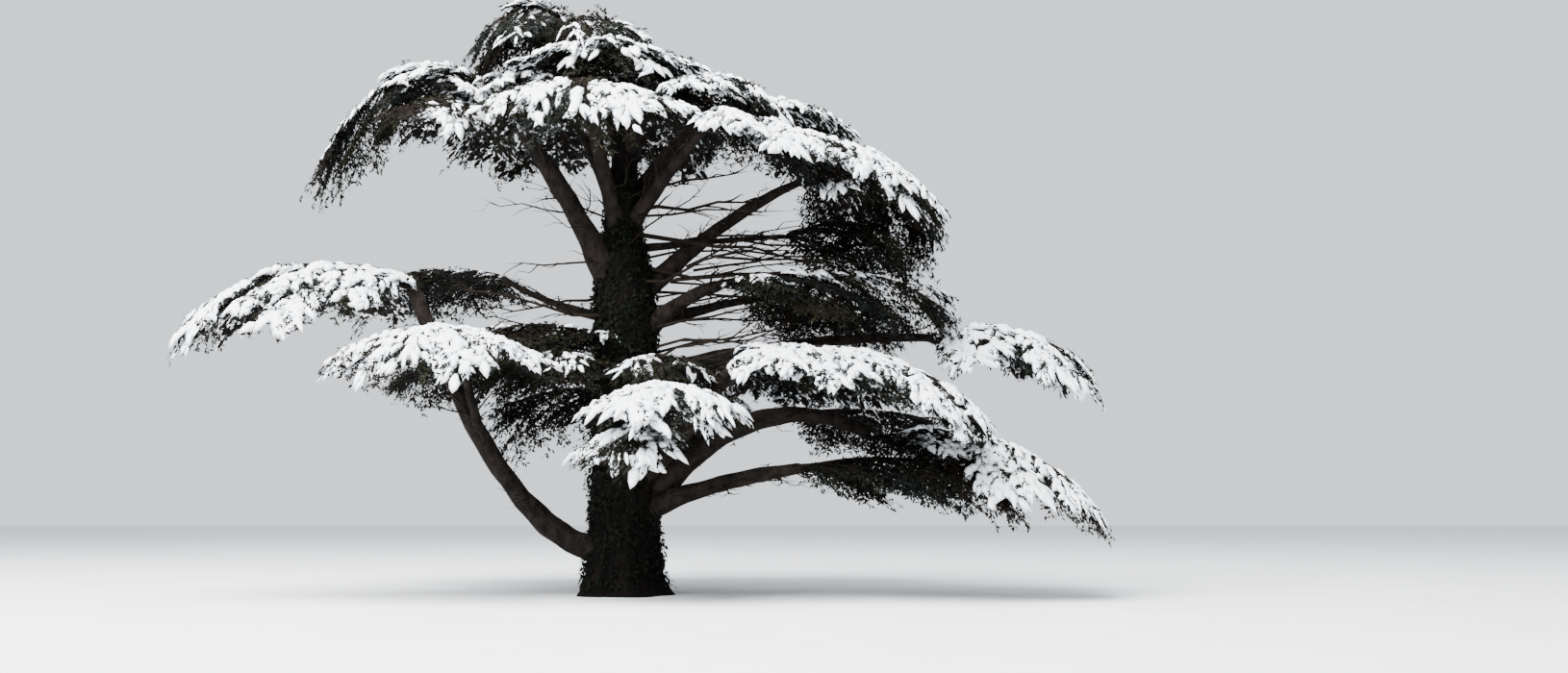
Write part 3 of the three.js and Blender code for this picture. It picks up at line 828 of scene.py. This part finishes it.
SHELVES = (
    Shelf("cap_left", Tier.TOP, 188, 3.25, 4.6, 1.35, 0, 1.0, 0.5, 2, 3, 0.45, height=15.9),
    Shelf("cap_right", Tier.TOP, 346, 2.1, 4.4, 0.6, 0.1, 0.6, 0.9, 2, 2, 0.45, height=15.95),
    Shelf("top_front", Tier.TOP, 282, 2.3, 5.4, 0.7, -0.9, 0.25, 0.3, 1, 3, 0.9, height=14.6),
    Shelf("top_right", Tier.UPPER_RIGHT, 352, 3.9, 5.0, 0.65, 1.0, 0.3, 0.6, 2, 3, 0.8),
    Shelf("upper_left", Tier.TOP, 183, 5.6, 6.2, 2.25, 0.6, 1.55, 0.5, 2, 4, 1.0),
    Shelf("upper_left_inner", Tier.TOP, 200, 3.8, 3.6, 0.8, -0.45, 0.35, 0.2, 1, 2, 0.9, height=14.0),
    Shelf("upper_front", Tier.TOP, 272, 3.6, 6.2, 0.75, 0.45, 0.35, 0.35, 1, 4, 0.85, limb="left_stem"),
    Shelf(
        *("upper_right_front", Tier.UPPER_RIGHT, 334, 6.6, 5.8, -0.1, 2.6, 0.8, 0.25, 1, 5, 1.0),
        limb="right_fork_bough",
    ),
    Shelf("upper_right", Tier.UPPER_RIGHT, 8, 4.0, 6.2, 1.3, 1.2, 1.3, 1.1, 2, 4, 1.2),
    Shelf("right_under", Tier.UPPER_RIGHT, 356, 3.8, 4.0, 0.45, 0.25, 0.25, 0.45, 3, 3, 0.08),
    Shelf("left", Tier.LEFT, 187, 5.9, 5.6, 0.95, 0.7, 1.5, 0.4, 1, 4, 1.3, limb="low_left_bough"),
    Shelf("left_back", Tier.LEFT, 160, 4.7, 5.0, 0.45, 0.25, 0.3, 0.2, 2, 4, 0.25),
    Shelf("left_front", Tier.LEFT, 262, 3.3, 5.8, 0.5, 0.45, 0.5, 0.5, 1, 4, 1.0),
    Shelf("back_low_left", Tier.LEFT, 150, 5.6, 5.2, 0.35, 0.6, 0.35, 0.35, 2, 3, 0.3),
    Shelf("middle_left", Tier.LEFT, 222, 4.3, 3.6, 0.35, 0.25, 0.25, 0.2, 2, 3, 0.45, height=6.4),
    Shelf("middle_front", Tier.RIGHT, 300, 4.0, 3.6, 0.45, 0.15, 0.3, 0.3, 2, 3, 0.5, height=6.2),
    Shelf("front", Tier.LOW_RIGHT, 291, 3.3, 3.6, 0.25, 0.35, 0.3, 0.25, 1, 4, 1.15),
    Shelf("front_low", Tier.LOW_RIGHT, 262, 2.4, 2.6, 0.1, 0.4, 0.25, 0.25, 1, 2, 1.0),
    Shelf("right_mid", Tier.RIGHT, 355, 6.6, 5.4, 0.45, 0.45, 0.35, 0.5, 3, 4, 0.45),
    Shelf("back_right", Tier.RIGHT, 30, 5.0, 5.0, 0.3, 0.4, 0.3, 0.35, 2, 3, 0.35),
    Shelf("right_far", Tier.RIGHT, 352, 4.4, 4.6, 0.45, 0.9, 0.5, 1.0, 1, 3, 1.0),
    Shelf("right_front", Tier.RIGHT, 337, 7.0, 5.0, 0.55, 1.5, 0.7, 0.35, 1, 5, 1.0),
    Shelf(
        *("right_low", Tier.LOW_RIGHT, 341, 6.2, 5.2, 0.45, 1.9, 0.4, 1.0, 1, 4, 1.1),
        limb="right_arch_bough",
        bare=0.42,
    ),
    Shelf(
        *("right_foot", Tier.LOW_RIGHT, 341, 6.0, 3.8, 0.3, 0.35, 0.25, 0.25, 2, 4, 0.12),
        limb="right_low_bough",
    ),
    Shelf("right_back", Tier.LOW_RIGHT, 12, 5.2, 4.2, 0.25, 0.25, 0.35, 0.35, 2, 3, 0.1),
    Shelf("low_left_inner", Tier.LEFT, 160, 4.1, 3.0, 0.25, 0.35, 0.25, 0.25, 3, 3, 0.05, height=5.7),
    Shelf("back_low", Tier.BACK, 90, 5.0, 6.0, 0.3, 1.25, 0.5, 0.5, 1, 3, 0.9),
    Shelf("back_low_right", Tier.BACK, 50, 4.8, 4.4, 0.25, 0.6, 0.35, 0.3, 1, 3, 0.8),
    Shelf("back_upper_left", Tier.BACK, 132, 4.9, 5.4, 0.4, 0.3, 0.35, 0.4, 1, 3, 0.9),
    Shelf("back_upper", Tier.BACK, 86, 4.7, 4.2, 0.45, 0.25, 0.35, 0.35, 1, 3, 0.9),
    Shelf("back_upper_right", Tier.BACK, 42, 4.9, 5.2, 0.7, 0.45, 0.45, 0.35, 2, 3, 0.9),
    Shelf("cap_front", Tier.TOP, 262, 2.0, 3.2, 1.0, 0, 0.3, 0.3, 2, 2, 0.12, height=15.6),
    Shelf("left_mid", Tier.LEFT, 196, 5.4, 3.6, 0.35, 0.25, 0.3, 0.25, 2, 4, 0.3, height=7.3),
)


@dataclass(frozen=True)
class Surface:
    """The slope that a shelf's fronds lie in: u along its stem, v from -1 to 1 across it."""

    shelf: Shelf
    base: Array

    def rim(self, u: float) -> float:
        """How far across the shelf reaches at u."""
        return math.sin(math.pi * (0.14 + 0.76 * min(1.0, max(0.0, u)))) ** 0.6

    def point(self, u: float, v: float, lift: float = 0.0) -> Array:
        """A point of the slope.

        Args:
            u, v: its place along and across the slope.
            lift: how far it is raised above it.

        Returns:
            The point.
        """
        s = self.shelf
        hang = s.left if v > 0 else s.right
        height = s.rise * 4 * u * (1 - u) - s.fall * u * u - hang * v * v + lift
        ahead, left = heading(s.bearing), heading(s.bearing + 90)
        return self.base + ahead * (u * s.length) + left * (v * s.width / 2) + UP * height

    def upward(self, u: float, v: float) -> Array:
        """The slope's upward side.

        Args:
            u, v: a place along and across the slope.

        Returns:
            The direction there.
        """
        along = self.point(u + 0.02, v) - self.point(u - 0.02, v)
        across = self.point(u, v + 0.02) - self.point(u, v - 0.02)
        return unit(np.cross(along, across))


@dataclass(frozen=True)
class Frond:
    """A side twig and the spray at its end."""

    curve: Curve
    upward: Array
    width: float
    stalk: float
    snow: float
    tone: int
    bulk: float = 1.0

    @property
    def sag(self) -> float:
        """How much of the full droop its load of snow gives it."""
        return 0.35 + 0.65 * min(1.0, self.snow)

    @property
    def load(self) -> float:
        """How big its lumps of snow are against full ones."""
        return 0.45 + 0.55 * min(1.0, self.snow)

    @property
    def length(self) -> float:
        """The length of the frond's twig."""
        return self.curve.length(12)


@dataclass
class Fronds:
    """The source's rule for fronds, grown again, with finer ones between them."""

    timber: Timber
    # The source's sizes of a frond: how far apart layers lie, its width, its droop and its arch.
    layer_gap: float = 0.4
    spread: float = 1.65
    droop: float = 0.14
    arch: float = 0.16
    # A stem's radius at its tip and on the trunk, and the share of the shelf that it reaches.
    stem_tip: float = 0.03
    stem_on_trunk: float = 0.12
    stem_end: float = 0.82
    # The places that the source tries for a frond: how much higher, how far out, and how wide.
    tries: tuple[tuple[float, float, float], ...] = (
        *((0, 1, 1), (-0.15, 1, 0.85), (0.15, 1, 0.85), (-0.3, 0.95, 0.7)),
        *((0.26, 0.9, 0.7), (-0.15, 0.75, 0.6), (0, 0.55, 0.5)),
    )
    # Which fronds of each four have an inner one beside them, and how close a solid's corner lies.
    inner: tuple[int, ...] = (0, 3)
    match: float = 0.004

    def stem(self, shelf: Shelf) -> tuple[Spline, Surface, float]:
        """The stem of a shelf.

        Args:
            shelf: the shelf.

        Returns:
            The stem's curve, the shelf's slope, and the stem's radius at its foot.
        """
        if shelf.height:
            base, onward = self.timber.heart_at(shelf.height), heading(shelf.bearing)
            foot = self.stem_on_trunk
        else:
            limb = shelf.limb or f"{shelf.part}_bough"
            carrier, foot = self.timber.curves[limb], self.timber.tips[limb]
            base, onward = carrier.at(1.0), carrier.tangent(1.0)
        surface = Surface(shelf, base)
        start = base + onward * GAP
        bend = start + onward * 0.06 * shelf.length
        rest = [surface.point(u, 0) for u in (0.3, 0.6, self.stem_end)]
        return Spline([start, bend, *rest]), surface, foot

    def bow(self, surface: Surface, root: Array, u: float, v: float, lift: float, share: float) -> Bow:
        """The curve of a frond that reaches from its root towards a place on the slope.

        Args:
            surface: the slope.
            root: where the frond starts.
            u, v, lift: the place that it aims for, along, across and above the slope.
            share: how much of the way it goes.

        Returns:
            The curve.
        """
        rest = surface.point(u, v, lift)
        tip = root + (rest - root) * share
        tip = tip - UP * self.droop * float(np.linalg.norm(tip - root))
        middle = root + (rest - root) * 0.55 * share + UP * self.arch
        return Bow(root, middle, tip)

    def of(self, shelf: Shelf, number: int, solid: bpy.types.Object) -> list[Frond]:
        """Grows a shelf's fronds again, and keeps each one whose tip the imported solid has.

        Args:
            shelf: the shelf.
            number: its place in the source's list, which seeds it.
            solid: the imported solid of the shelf.

        Returns:
            The fronds of the solid.
        """
        corners = kdtree.KDTree(len(solid.data.vertices))
        for vertex in solid.data.vertices:
            corners.insert(vertex.co, vertex.index)
        corners.balance()
        random = repeatable(SEED + 97 * number)
        stem, surface, _ = self.stem(shelf)
        found: list[Frond] = []

        def add(root: Array, u: float, v: float, lift: float, width: float, stalk: float) -> None:
            """Tries the source's places for one frond in turn.

            Args:
                root: where the frond starts.
                u, v, lift: the place that it aims for.
                width, stalk: its full width, and the share of it that is bare twig.
            """
            for shift, share, narrowed in self.tries:
                bow = self.bow(surface, root, u, v, lift + shift, share)
                if corners.find(Vector(bow.end))[2] < self.match:
                    looks = shelf.snow_at(u, lift), len(found) % len(NEEDLES)
                    found.append(Frond(bow, surface.upward(u, v), width * narrowed, stalk, *looks))
                    return

        for i in range(2 * shelf.pairs):
            side = 1 if i % 2 else -1
            leaves = 0.8 * (i + 0.2 + 0.5 * next(random)) / (2 * shelf.pairs)
            ends = leaves + 0.2 + 0.06 * next(random)
            width = self.spread * (0.85 + 0.25 * next(random))
            turn = next(random)
            lift = -((i // 2) % shelf.layers) * self.layer_gap
            root = stem.at(min(0.96, max(0.04, leaves / self.stem_end)))
            add(root, ends, side * surface.rim(ends), lift, width, 0.42)
            if i % 4 in self.inner:
                between = leaves + 0.4 / shelf.pairs
                ahead = min(1.0, between + 0.1 + 1.0 / shelf.length)
                root = stem.at(min(0.96, max(0.04, between / self.stem_end)))
                add(root, ahead, side * (0.4 + 0.15 * turn), lift - 0.16, width, 0.25)
        add(stem.at(0.98), 1, 0, 0, self.spread, 0.2)
        return found

    def between(self, shelf: Shelf, rng: Rng) -> list[Frond]:
        """Finer fronds that fill a shelf out within its own reach, some of them beneath the rest.

        Args:
            shelf: the shelf.
            rng: a seeded supply of numbers.

        Returns:
            The fronds.
        """
        stem, surface, _ = self.stem(shelf)
        found = []
        count = (8 if shelf.layers < 3 else 6) * shelf.pairs
        for i in range(count):
            side = 1 if i % 2 else -1
            beneath = i % 8 > 3
            leaves = 0.82 * (i + rng.random()) / count
            ends = min(1.0, leaves + rng.uniform(0.14, 0.3))
            reach = surface.rim(ends) * rng.uniform(0.4, 0.86 if beneath else 0.91)
            level = -rng.integers(0, shelf.layers) * self.layer_gap
            under = -rng.uniform(0.12, shelf.skirt) * (1 - 0.7 * reach**2)
            lift = level + (under if beneath else rng.uniform(-0.08, 0.06))
            root = stem.at(min(0.96, max(0.04, leaves / self.stem_end)))
            bow = self.bow(surface, root, ends, side * reach, lift, 1.0)
            width = self.spread * rng.uniform(0.5, 0.85) * (1.25 if beneath else 1.0)
            snow = shelf.snow * 0.06 if beneath else shelf.snow_at(ends, lift)
            tone = int(rng.integers(0, len(NEEDLES)))
            found.append(Frond(bow, surface.upward(ends, side * reach), width, 0.25, snow, tone))
        return found


@dataclass(frozen=True)
class Sprigs:
    """Many small twigs at once: where they start, bend and end, and their directions."""

    root: Array
    middle: Array
    tip: Array
    aside: Array
    above: Array


@dataclass
class Foliage:
    """One tier's twigs, needles and snow, in metres and degrees."""

    tier: Tier
    # How far apart branchlets leave a frond, their shortest and longest, and the fingers on them.
    spacing: float = 0.115
    branchlet: tuple[float, float] = (0.16, 1.0)
    finger: float = 0.3
    # How far branchlets and lumps turn from the frond at its foot, and how much less at its tip.
    turn: float = 66
    lump_turn: float = 64
    closing: float = 34
    # Radii of branchlets and of the frond's own twig, and the needles of a branchlet and a finger.
    twig_radii: tuple[float, float] = (0.014, 0.028)
    needles_each: tuple[int, int] = (6, 4)
    # The needles are larger than life, so that fewer faces cover the sprays.
    needle: float = 0.16
    needle_width: float = 0.056
    # The snow's depth, half its width, its shortest and longest lumps, and lumps a square metre.
    snow_depth: float = 0.1
    snow_width: float = 0.105
    lump_length: tuple[float, float] = (0.26, 0.54)
    lumps: float = 15.0
    # Where each ring of a lump lies along it, and its half width and its height there.
    lump: tuple[tuple[float, float, float], ...] = ((0, 0.55, 0.6), (0.38, 1, 1), (0.76, 0.6, 0.66))
    # Where the last branchlet leaves a frond, and how wide the frond is at shares up to there.
    last: float = 0.84
    outline: tuple[tuple[float, float], ...] = (
        *((0, 0.12), (0.15, 0.55), (0.4, 0.95)),
        *((0.6, 1.0), (0.85, 0.72), (1, 0.15)),
    )

    def __post_init__(self) -> None:
        """Starts the tier's three pieces."""
        kinds = ("twigs", "needles", "snow")
        self.twigs, self.needles, self.snow = (Batch(f"{kind}_{self.tier.value}") for kind in kinds)

    def sites(self, frond: Frond, spread: Array) -> tuple[Array, Array, Array]:
        """The places on a frond where branchlets leave it.

        Args:
            frond: the frond.
            spread: shares along its spray.

        Returns:
            The places, and the directions ahead and aside there.
        """
        shares = frond.stalk + (1 - frond.stalk) * self.last * spread
        ahead = frond.curve.tangent(shares)
        return frond.curve.at(shares), ahead, unit(np.cross(frond.upward[None], ahead))

    def lengths(self, frond: Frond, spread: Array, turn: Array) -> Array:
        """How long branchlets are that reach the frond's rim at their turn from its stem."""
        wide = np.interp(spread, *zip(*self.outline)) * frond.width / 2
        return np.clip(wide[:, None] / np.sin(turn), *self.branchlet)

    def sprout(self, frond: Frond, rng: Rng) -> None:
        """Grows a frond's branchlets and fingers, and covers them.

        Args:
            frond: the frond.
            rng: a seeded supply of numbers.
        """
        count = max(8, int(frond.length * (1 - frond.stalk) / self.spacing))
        spread = (np.arange(count) + rng.uniform(0.1, 0.9, count)) / count
        side = np.where(np.arange(count) % 2, 1.0, -1.0)[:, None]
        root, ahead, aside = self.sites(frond, spread)
        above = np.cross(ahead, aside)
        turn = np.radians(self.turn - self.closing * spread + rng.normal(0, 7, count))[:, None]
        length = self.lengths(frond, spread, turn) * rng.uniform(0.8, 1.12, (count, 1))
        lean = above * rng.normal(0, 0.06, (count, 1))
        way = unit(ahead * np.cos(turn) + aside * side * np.sin(turn) + lean)
        middle = root + way * length * 0.55 + above * 0.02
        tip = root + way * length - UP * length * frond.sag * rng.uniform(0.1, 0.3, (count, 1))
        branchlets = Sprigs(root, middle, tip, unit(np.cross(above, way)), above)
        self.cover(branchlets, self.needles_each[0], frond.tone, rng)
        self.wood(np.stack([root, tip], 1), branchlets.aside, above, self.twig_radii[0])

        fingers = np.maximum(2, np.round(length[:, 0] / 0.2)).astype(int)
        owner = np.repeat(np.arange(count), fingers)
        order = np.arange(len(owner)) - np.repeat(np.cumsum(fingers) - fingers, fingers)
        place = (order + rng.uniform(0.25, 0.95, len(owner)))[:, None] / fingers[owner][:, None]
        flank = np.where(order % 2, 1.0, -1.0)[:, None]
        own_way, own_above = unit(tip - root)[owner], above[owner]
        own_aside = unit(np.cross(own_above, own_way))
        sweep = np.radians(rng.uniform(32, 58, (len(owner), 1)))
        reach = self.finger * (1.1 - 0.45 * place) * (1 - 0.35 * spread[owner, None])
        reach = reach * rng.uniform(0.7, 1.15, (len(owner), 1))
        lean = own_above * rng.normal(0, 0.09 * frond.sag, (len(owner), 1))
        out = unit(own_way * np.cos(sweep) + own_aside * flank * np.sin(sweep) + lean)
        base = bent(root[owner], middle[owner], tip[owner], place)
        end = base + out * reach - UP * reach * frond.sag * rng.uniform(0.05, 0.35, (len(owner), 1))
        shoots = Sprigs(base, (base + end) / 2, end, unit(np.cross(own_above, out)), own_above)
        self.cover(shoots, self.needles_each[1], frond.tone, rng)

        line = frond.curve.at(np.linspace(0, 1, max(5, int(frond.length / 0.45))))
        across = unit(np.cross(frond.upward, unit(line[-1] - line[0])))
        self.wood(line[None], across[None], frond.upward[None], self.twig_radii[1])
        if rng.random() < frond.snow:
            self.lay(frond, rng)

    def wood(self, line: Array, aside: Array, above: Array, radius: float) -> None:
        """Adds twigs, twigs by stations by 3, of a radius at their feet."""
        stations = line.shape[1]
        add_twigs(self.twigs, line, aside, above, radius * (1 - 0.7 * np.arange(stations - 1) / stations))

    def cover(self, sprigs: Sprigs, each: int, tone: int, rng: Rng) -> None:
        """Adds needles round sprigs, most of them flat in the spray.

        Args:
            sprigs: what carries them.
            each: how many needles a sprig has.
            tone: the finish of the needles.
            rng: a seeded supply of numbers.
        """
        count = len(sprigs.root)
        place = ((np.arange(each) + rng.uniform(0, 1, (count, each))) / each * 1.02)[..., None]
        spot = bent(sprigs.root[:, None], sprigs.middle[:, None], sprigs.tip[:, None], place)
        onward = unit(sprigs.tip - sprigs.root)[:, None]
        aside, above = sprigs.aside[:, None], sprigs.above[:, None]
        flank = rng.uniform(-1, 1, (count, each, 1))
        hang = rng.uniform(-0.75, 0.25, (count, each, 1))
        way = unit(onward * 0.75 + aside * flank * 1.3 + above * hang)
        flat = unit(np.cross(way, above + rng.normal(0, 0.5, (count, each, 3))))
        long = self.needle * rng.uniform(0.7, 1.3, (count, each, 1))
        broad = flat * self.needle_width * 0.5
        belly = spot + way * long * 0.45
        kite = np.stack([spot, belly - broad, spot + way * long, belly + broad], axis=2)
        self.needles.add(kite.reshape(-1, 4, 3), np.array([(0, 1, 2), (0, 2, 3)]), tone)

    def lay(self, frond: Frond, rng: Rng) -> None:
        """Lays snow on a frond, in short lumps that follow its branchlets and hang over at its rim.

        Args:
            frond: the frond.
            rng: a seeded supply of numbers.
        """
        area = frond.width * frond.length * (1 - frond.stalk)
        count = max(8, round(self.lumps * area * (0.3 + 0.8 * frond.snow)))
        spread = rng.random(count) ** 0.75
        side = rng.choice([-1.0, 1.0], (count, 1))
        part = rng.uniform(0.0, 0.9, (count, 1)) ** 0.8
        root, ahead, aside = self.sites(frond, spread)
        above = np.cross(ahead, aside)
        turn = np.radians(self.lump_turn - self.closing * spread)[:, None]
        out = self.lengths(frond, spread, turn) * part
        way = ahead * np.cos(turn) + aside * side * np.sin(turn)
        root = root + way * out - UP * out * 0.2 * frond.sag
        # Snow has slid off in patches about a metre across.
        spot = root[:, 0] * 3.1 + root[:, 2], root[:, 1] * 2.7 + root[:, 0]
        kept = np.sin(spot[0]) * np.sin(spot[1]) > rng.uniform(-1.9, -0.35, count)
        root, way, above, part = root[kept], way[kept], above[kept], part[kept]
        count = len(root)
        swing = np.radians(rng.normal(0, 24, (count, 1)))
        way = unit(way * np.cos(swing) + np.cross(above, way) * np.sin(swing))
        length = rng.uniform(*self.lump_length, (count, 1)) * frond.bulk
        place = np.array([at for at, _, _ in self.lump] + [1.0])[None, :, None]
        hang = rng.uniform(0.05, 0.3, (count, 1)) + 0.25 * part**3 * rng.random((count, 1))
        fall = UP * length[:, None] * (0.12 * place + hang[:, None] * place**2)
        spine = (root + above * 0.02)[:, None] + (way * length)[:, None] * (place - 0.42) - fall
        self.mound(spine, unit(np.cross(above, way)), frond.bulk * frond.load, rng)

    def mound(self, spine: Array, aside: Array, size: float, rng: Rng) -> None:
        """Adds lumps of snow, whose undersides take the browner needles' finish as painted shade.

        Args:
            spine: lumps by stations by 3.
            aside: lumps by 3, the sideways direction of each.
            size: how big they are against plain ones.
            rng: a seeded supply of numbers.
        """
        count, rings = len(spine), spine.shape[1] - 1
        _, wide, high = np.transpose(self.lump)
        bulk = size * rng.uniform(0.7, 1.35, (count, 1))
        across = self.snow_width * wide * bulk * rng.uniform(0.7, 1.3, (count, rings))
        upward = self.snow_depth * high * bulk * rng.uniform(0.7, 1.3, (count, rings))
        corners = ((-1, -0.1), (1, -0.1), (0.55, 0.9), (-0.55, 0.9))
        sides = len(corners)
        faces = bar_faces(sides, rings)
        # The bottom faces of each lump, which take the browner needles' finish as painted shade.
        beneath = np.isin(faces % sides, (0, 1)).all(axis=1) & (faces < sides * rings).all(axis=1)
        lifted = np.broadcast_to(UP, (count, 3))
        lumps = bars(spine, aside, lifted, corners, np.stack([across, upward], axis=2))
        self.snow.add(lumps, faces, beneath.astype(np.int32))

    def pieces(
        self, finishes: dict[Slot, list[bpy.types.Material]]
    ) -> list[tuple[bpy.types.Object, Slot]]:
        """Makes the tier's pieces.

        Args:
            finishes: the materials of each slot.

        Returns:
            Each piece and its slot.
        """
        # The snow's second finish is the browner needles' one, which paints shade on the lumps'
        # undersides.
        snow = [*finishes[Slot.SNOW], finishes[Slot.FOLIAGE][-1]]
        return [
            (self.twigs.piece([finishes[Slot.BARK][2]], False), Slot.BARK),
            (self.needles.piece(finishes[Slot.FOLIAGE], False), Slot.FOLIAGE),
            (self.snow.piece(snow, True), Slot.SNOW),
        ]


@dataclass
class Ivy:
    """The ivy that wraps the trunk, in leaves larger than life."""

    timber: Timber
    leaves: int = 13000
    leaf: float = 0.13
    fold: float = 0.012
    lowest: float = 0.25
    highest: float = 12.4

    def batch(self, rng: Rng) -> Batch:
        """Builds the leaves, thick in some places and thin in others.

        Args:
            rng: a seeded supply of numbers.

        Returns:
            The leaves as one batch.
        """
        height = self.lowest + (self.highest - self.lowest) * rng.random(self.leaves)
        angle = rng.uniform(-math.pi, math.pi, self.leaves)
        waves = np.sin(2.3 * height + 2 * angle) + np.sin(5.1 * height - 3 * angle + 1)
        bulge = 0.5 + 0.25 * waves
        kept = rng.random(self.leaves) < 0.35 + 0.65 * bulge
        height, angle, bulge = height[kept], angle[kept], bulge[kept]
        count = len(height)
        hearts = np.array([self.timber.heart_at(h) for h in height])
        out = np.stack([np.cos(angle), np.sin(angle), np.zeros(count)], 1)
        away = self.timber.radius_at(height, -angle) + bulge * 0.2 * rng.random(count) ** 1.5 + 0.01
        root = hearts + out * away[:, None]
        face = unit(out + rng.normal(0, 0.45, (count, 3)) + UP * 0.25)
        down = unit(np.cross(np.cross(face, -UP), face) + rng.normal(0, 0.35, (count, 3)))
        across = unit(np.cross(face, down))
        size = (self.leaf * rng.uniform(0.6, 1.2, count))[:, None]
        shape = ((0, -0.1), (0.42, 0.22), (0.3, 0.5), (0, 1.0), (-0.3, 0.5), (-0.42, 0.22))
        flat = [root + across * size * x + down * size * y for x, y in shape]
        # The middle rib stands out, so that each leaf is folded along it.
        points = [p + face * self.fold * (x == 0) for p, (x, _) in zip(flat, shape)]
        batch = Batch("ivy_leaves")
        batch.add(np.stack(points, axis=1), np.array([(0, k, k + 1) for k in range(1, len(shape) - 1)]))
        return batch


# The studio


@dataclass(frozen=True)
class Studio:
    """A pale floor, soft light and a camera where the photograph was taken from."""

    camera_at: tuple[float, float, float] = (4.54, -40.0, 2.2)
    tilt: float = 7.36
    lens: float = 32.0
    sensor: float = 36.0
    far: float = 2000.0
    sky: str = "#e9edf2"
    sky_strength: float = 1.45
    lamp_at: tuple[float, float, float] = (-18.0, -30.0, 52.0)
    lamp_aim: tuple[float, float, float] = (0.0, 0.0, 6.0)
    lamp_size: float = 60.0
    lamp_watts: float = 260000.0
    floor_half: float = 300.0

    def build(self) -> None:
        """Makes the floor, the light and the camera."""
        floor = Batch("floor")
        corners = np.array([[(-1, -1, 0), (1, -1, 0), (1, 1, 0), (-1, 1, 0)]]) * self.floor_half
        floor.add(corners, np.array([(0, 1, 2), (0, 2, 3)]))
        floor.piece([FLOOR.material()], False)

        world = bpy.data.worlds.new("soft_sky")
        world.use_nodes = True
        shade = world.node_tree.nodes["Background"]
        shade.inputs["Color"].default_value = linear(self.sky)
        shade.inputs["Strength"].default_value = self.sky_strength
        bpy.context.scene.world = world

        lamp = bpy.data.lights.new("overhead_softbox", "AREA")
        lamp.shape, lamp.size, lamp.energy = "DISK", self.lamp_size, self.lamp_watts
        light = bpy.data.objects.new("overhead_softbox", lamp)
        light.location = self.lamp_at
        ray = Vector(self.lamp_aim) - Vector(self.lamp_at)
        light.rotation_euler = ray.to_track_quat("-Z", "Y").to_euler()

        lens = bpy.data.cameras.new("photograph_camera")
        lens.lens, lens.sensor_width, lens.clip_end = self.lens, self.sensor, self.far
        camera = bpy.data.objects.new("photograph_camera", lens)
        camera.location = self.camera_at
        camera.rotation_euler = (math.radians(90 + self.tilt), 0, 0)
        for thing in (light, camera):
            bpy.context.scene.collection.objects.link(thing)
        bpy.context.scene.camera = camera


def dress(thing: bpy.types.Object, slot: Slot, nodes: Sequence[str]) -> None:
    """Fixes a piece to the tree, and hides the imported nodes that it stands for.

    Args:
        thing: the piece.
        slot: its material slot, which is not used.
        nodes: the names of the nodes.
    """
    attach(thing, "root")
    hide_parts(*nodes)


def main() -> None:
    """Builds the tree in order."""
    logging.basicConfig(level=logging.INFO, format="%(message)s")
    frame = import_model()
    finishes = {
        Slot.BARK: [finish.material() for finish in (TRUNK_BARK, LIMB_BARK, TWIG_BARK)],
        Slot.FOLIAGE: [finish.material() for finish in NEEDLES],
        Slot.SNOW: [SNOW.material()],
        Slot.IVY: [IVY_LEAF.material()],
    }
    Studio().build()

    timber = Timber()
    dress(timber.trunk().piece([finishes[Slot.BARK][0]], True), Slot.BARK, ["trunk"])
    boughs = timber.limbs()
    fronds = Fronds(timber)
    tiers = {tier: Foliage(tier) for tier in Tier}
    for number, shelf in enumerate(SHELVES):
        rng = np.random.default_rng(SEED + number)
        stem, _, foot = fronds.stem(shelf)

        def taper(shares: Array, foot: float = foot) -> Array:
            """The stem's radius."""
            return foot + (fronds.stem_tip - foot) * shares**0.7

        timber.rod(boughs, stem, taper, 10, float(number))
        own = fronds.of(shelf, number, frame["nodes"][shelf.name])
        finer = fronds.between(shelf, rng)
        crest = Frond(stem, UP, 1.5, 0.12, shelf.snow * (1 - shelf.bare), number % len(NEEDLES), 1.3)
        for frond in [*own, *finer, crest]:
            tiers[shelf.tier].sprout(frond, rng)
        log.info("%s: %d fronds and %d finer ones", shelf.name, len(own), len(finer))
    limb_nodes = [name for limb in LIMBS for name in limb.nodes]
    dress(boughs.piece([finishes[Slot.BARK][1]], True), Slot.BARK, limb_nodes)
    for tier, foliage in tiers.items():
        names = [shelf.name for shelf in SHELVES if shelf.tier is tier]
        for thing, slot in foliage.pieces(finishes):
            dress(thing, slot, names)
    bare = BareTwigs(timber).batch(np.random.default_rng(SEED - 1))
    dress(bare.piece([finishes[Slot.BARK][2]], False), Slot.BARK, [])
    ivy = Ivy(timber).batch(np.random.default_rng(SEED))
    dress(ivy.piece(finishes[Slot.IVY], False), Slot.IVY, [])


if __name__ == "__main__":
    main()
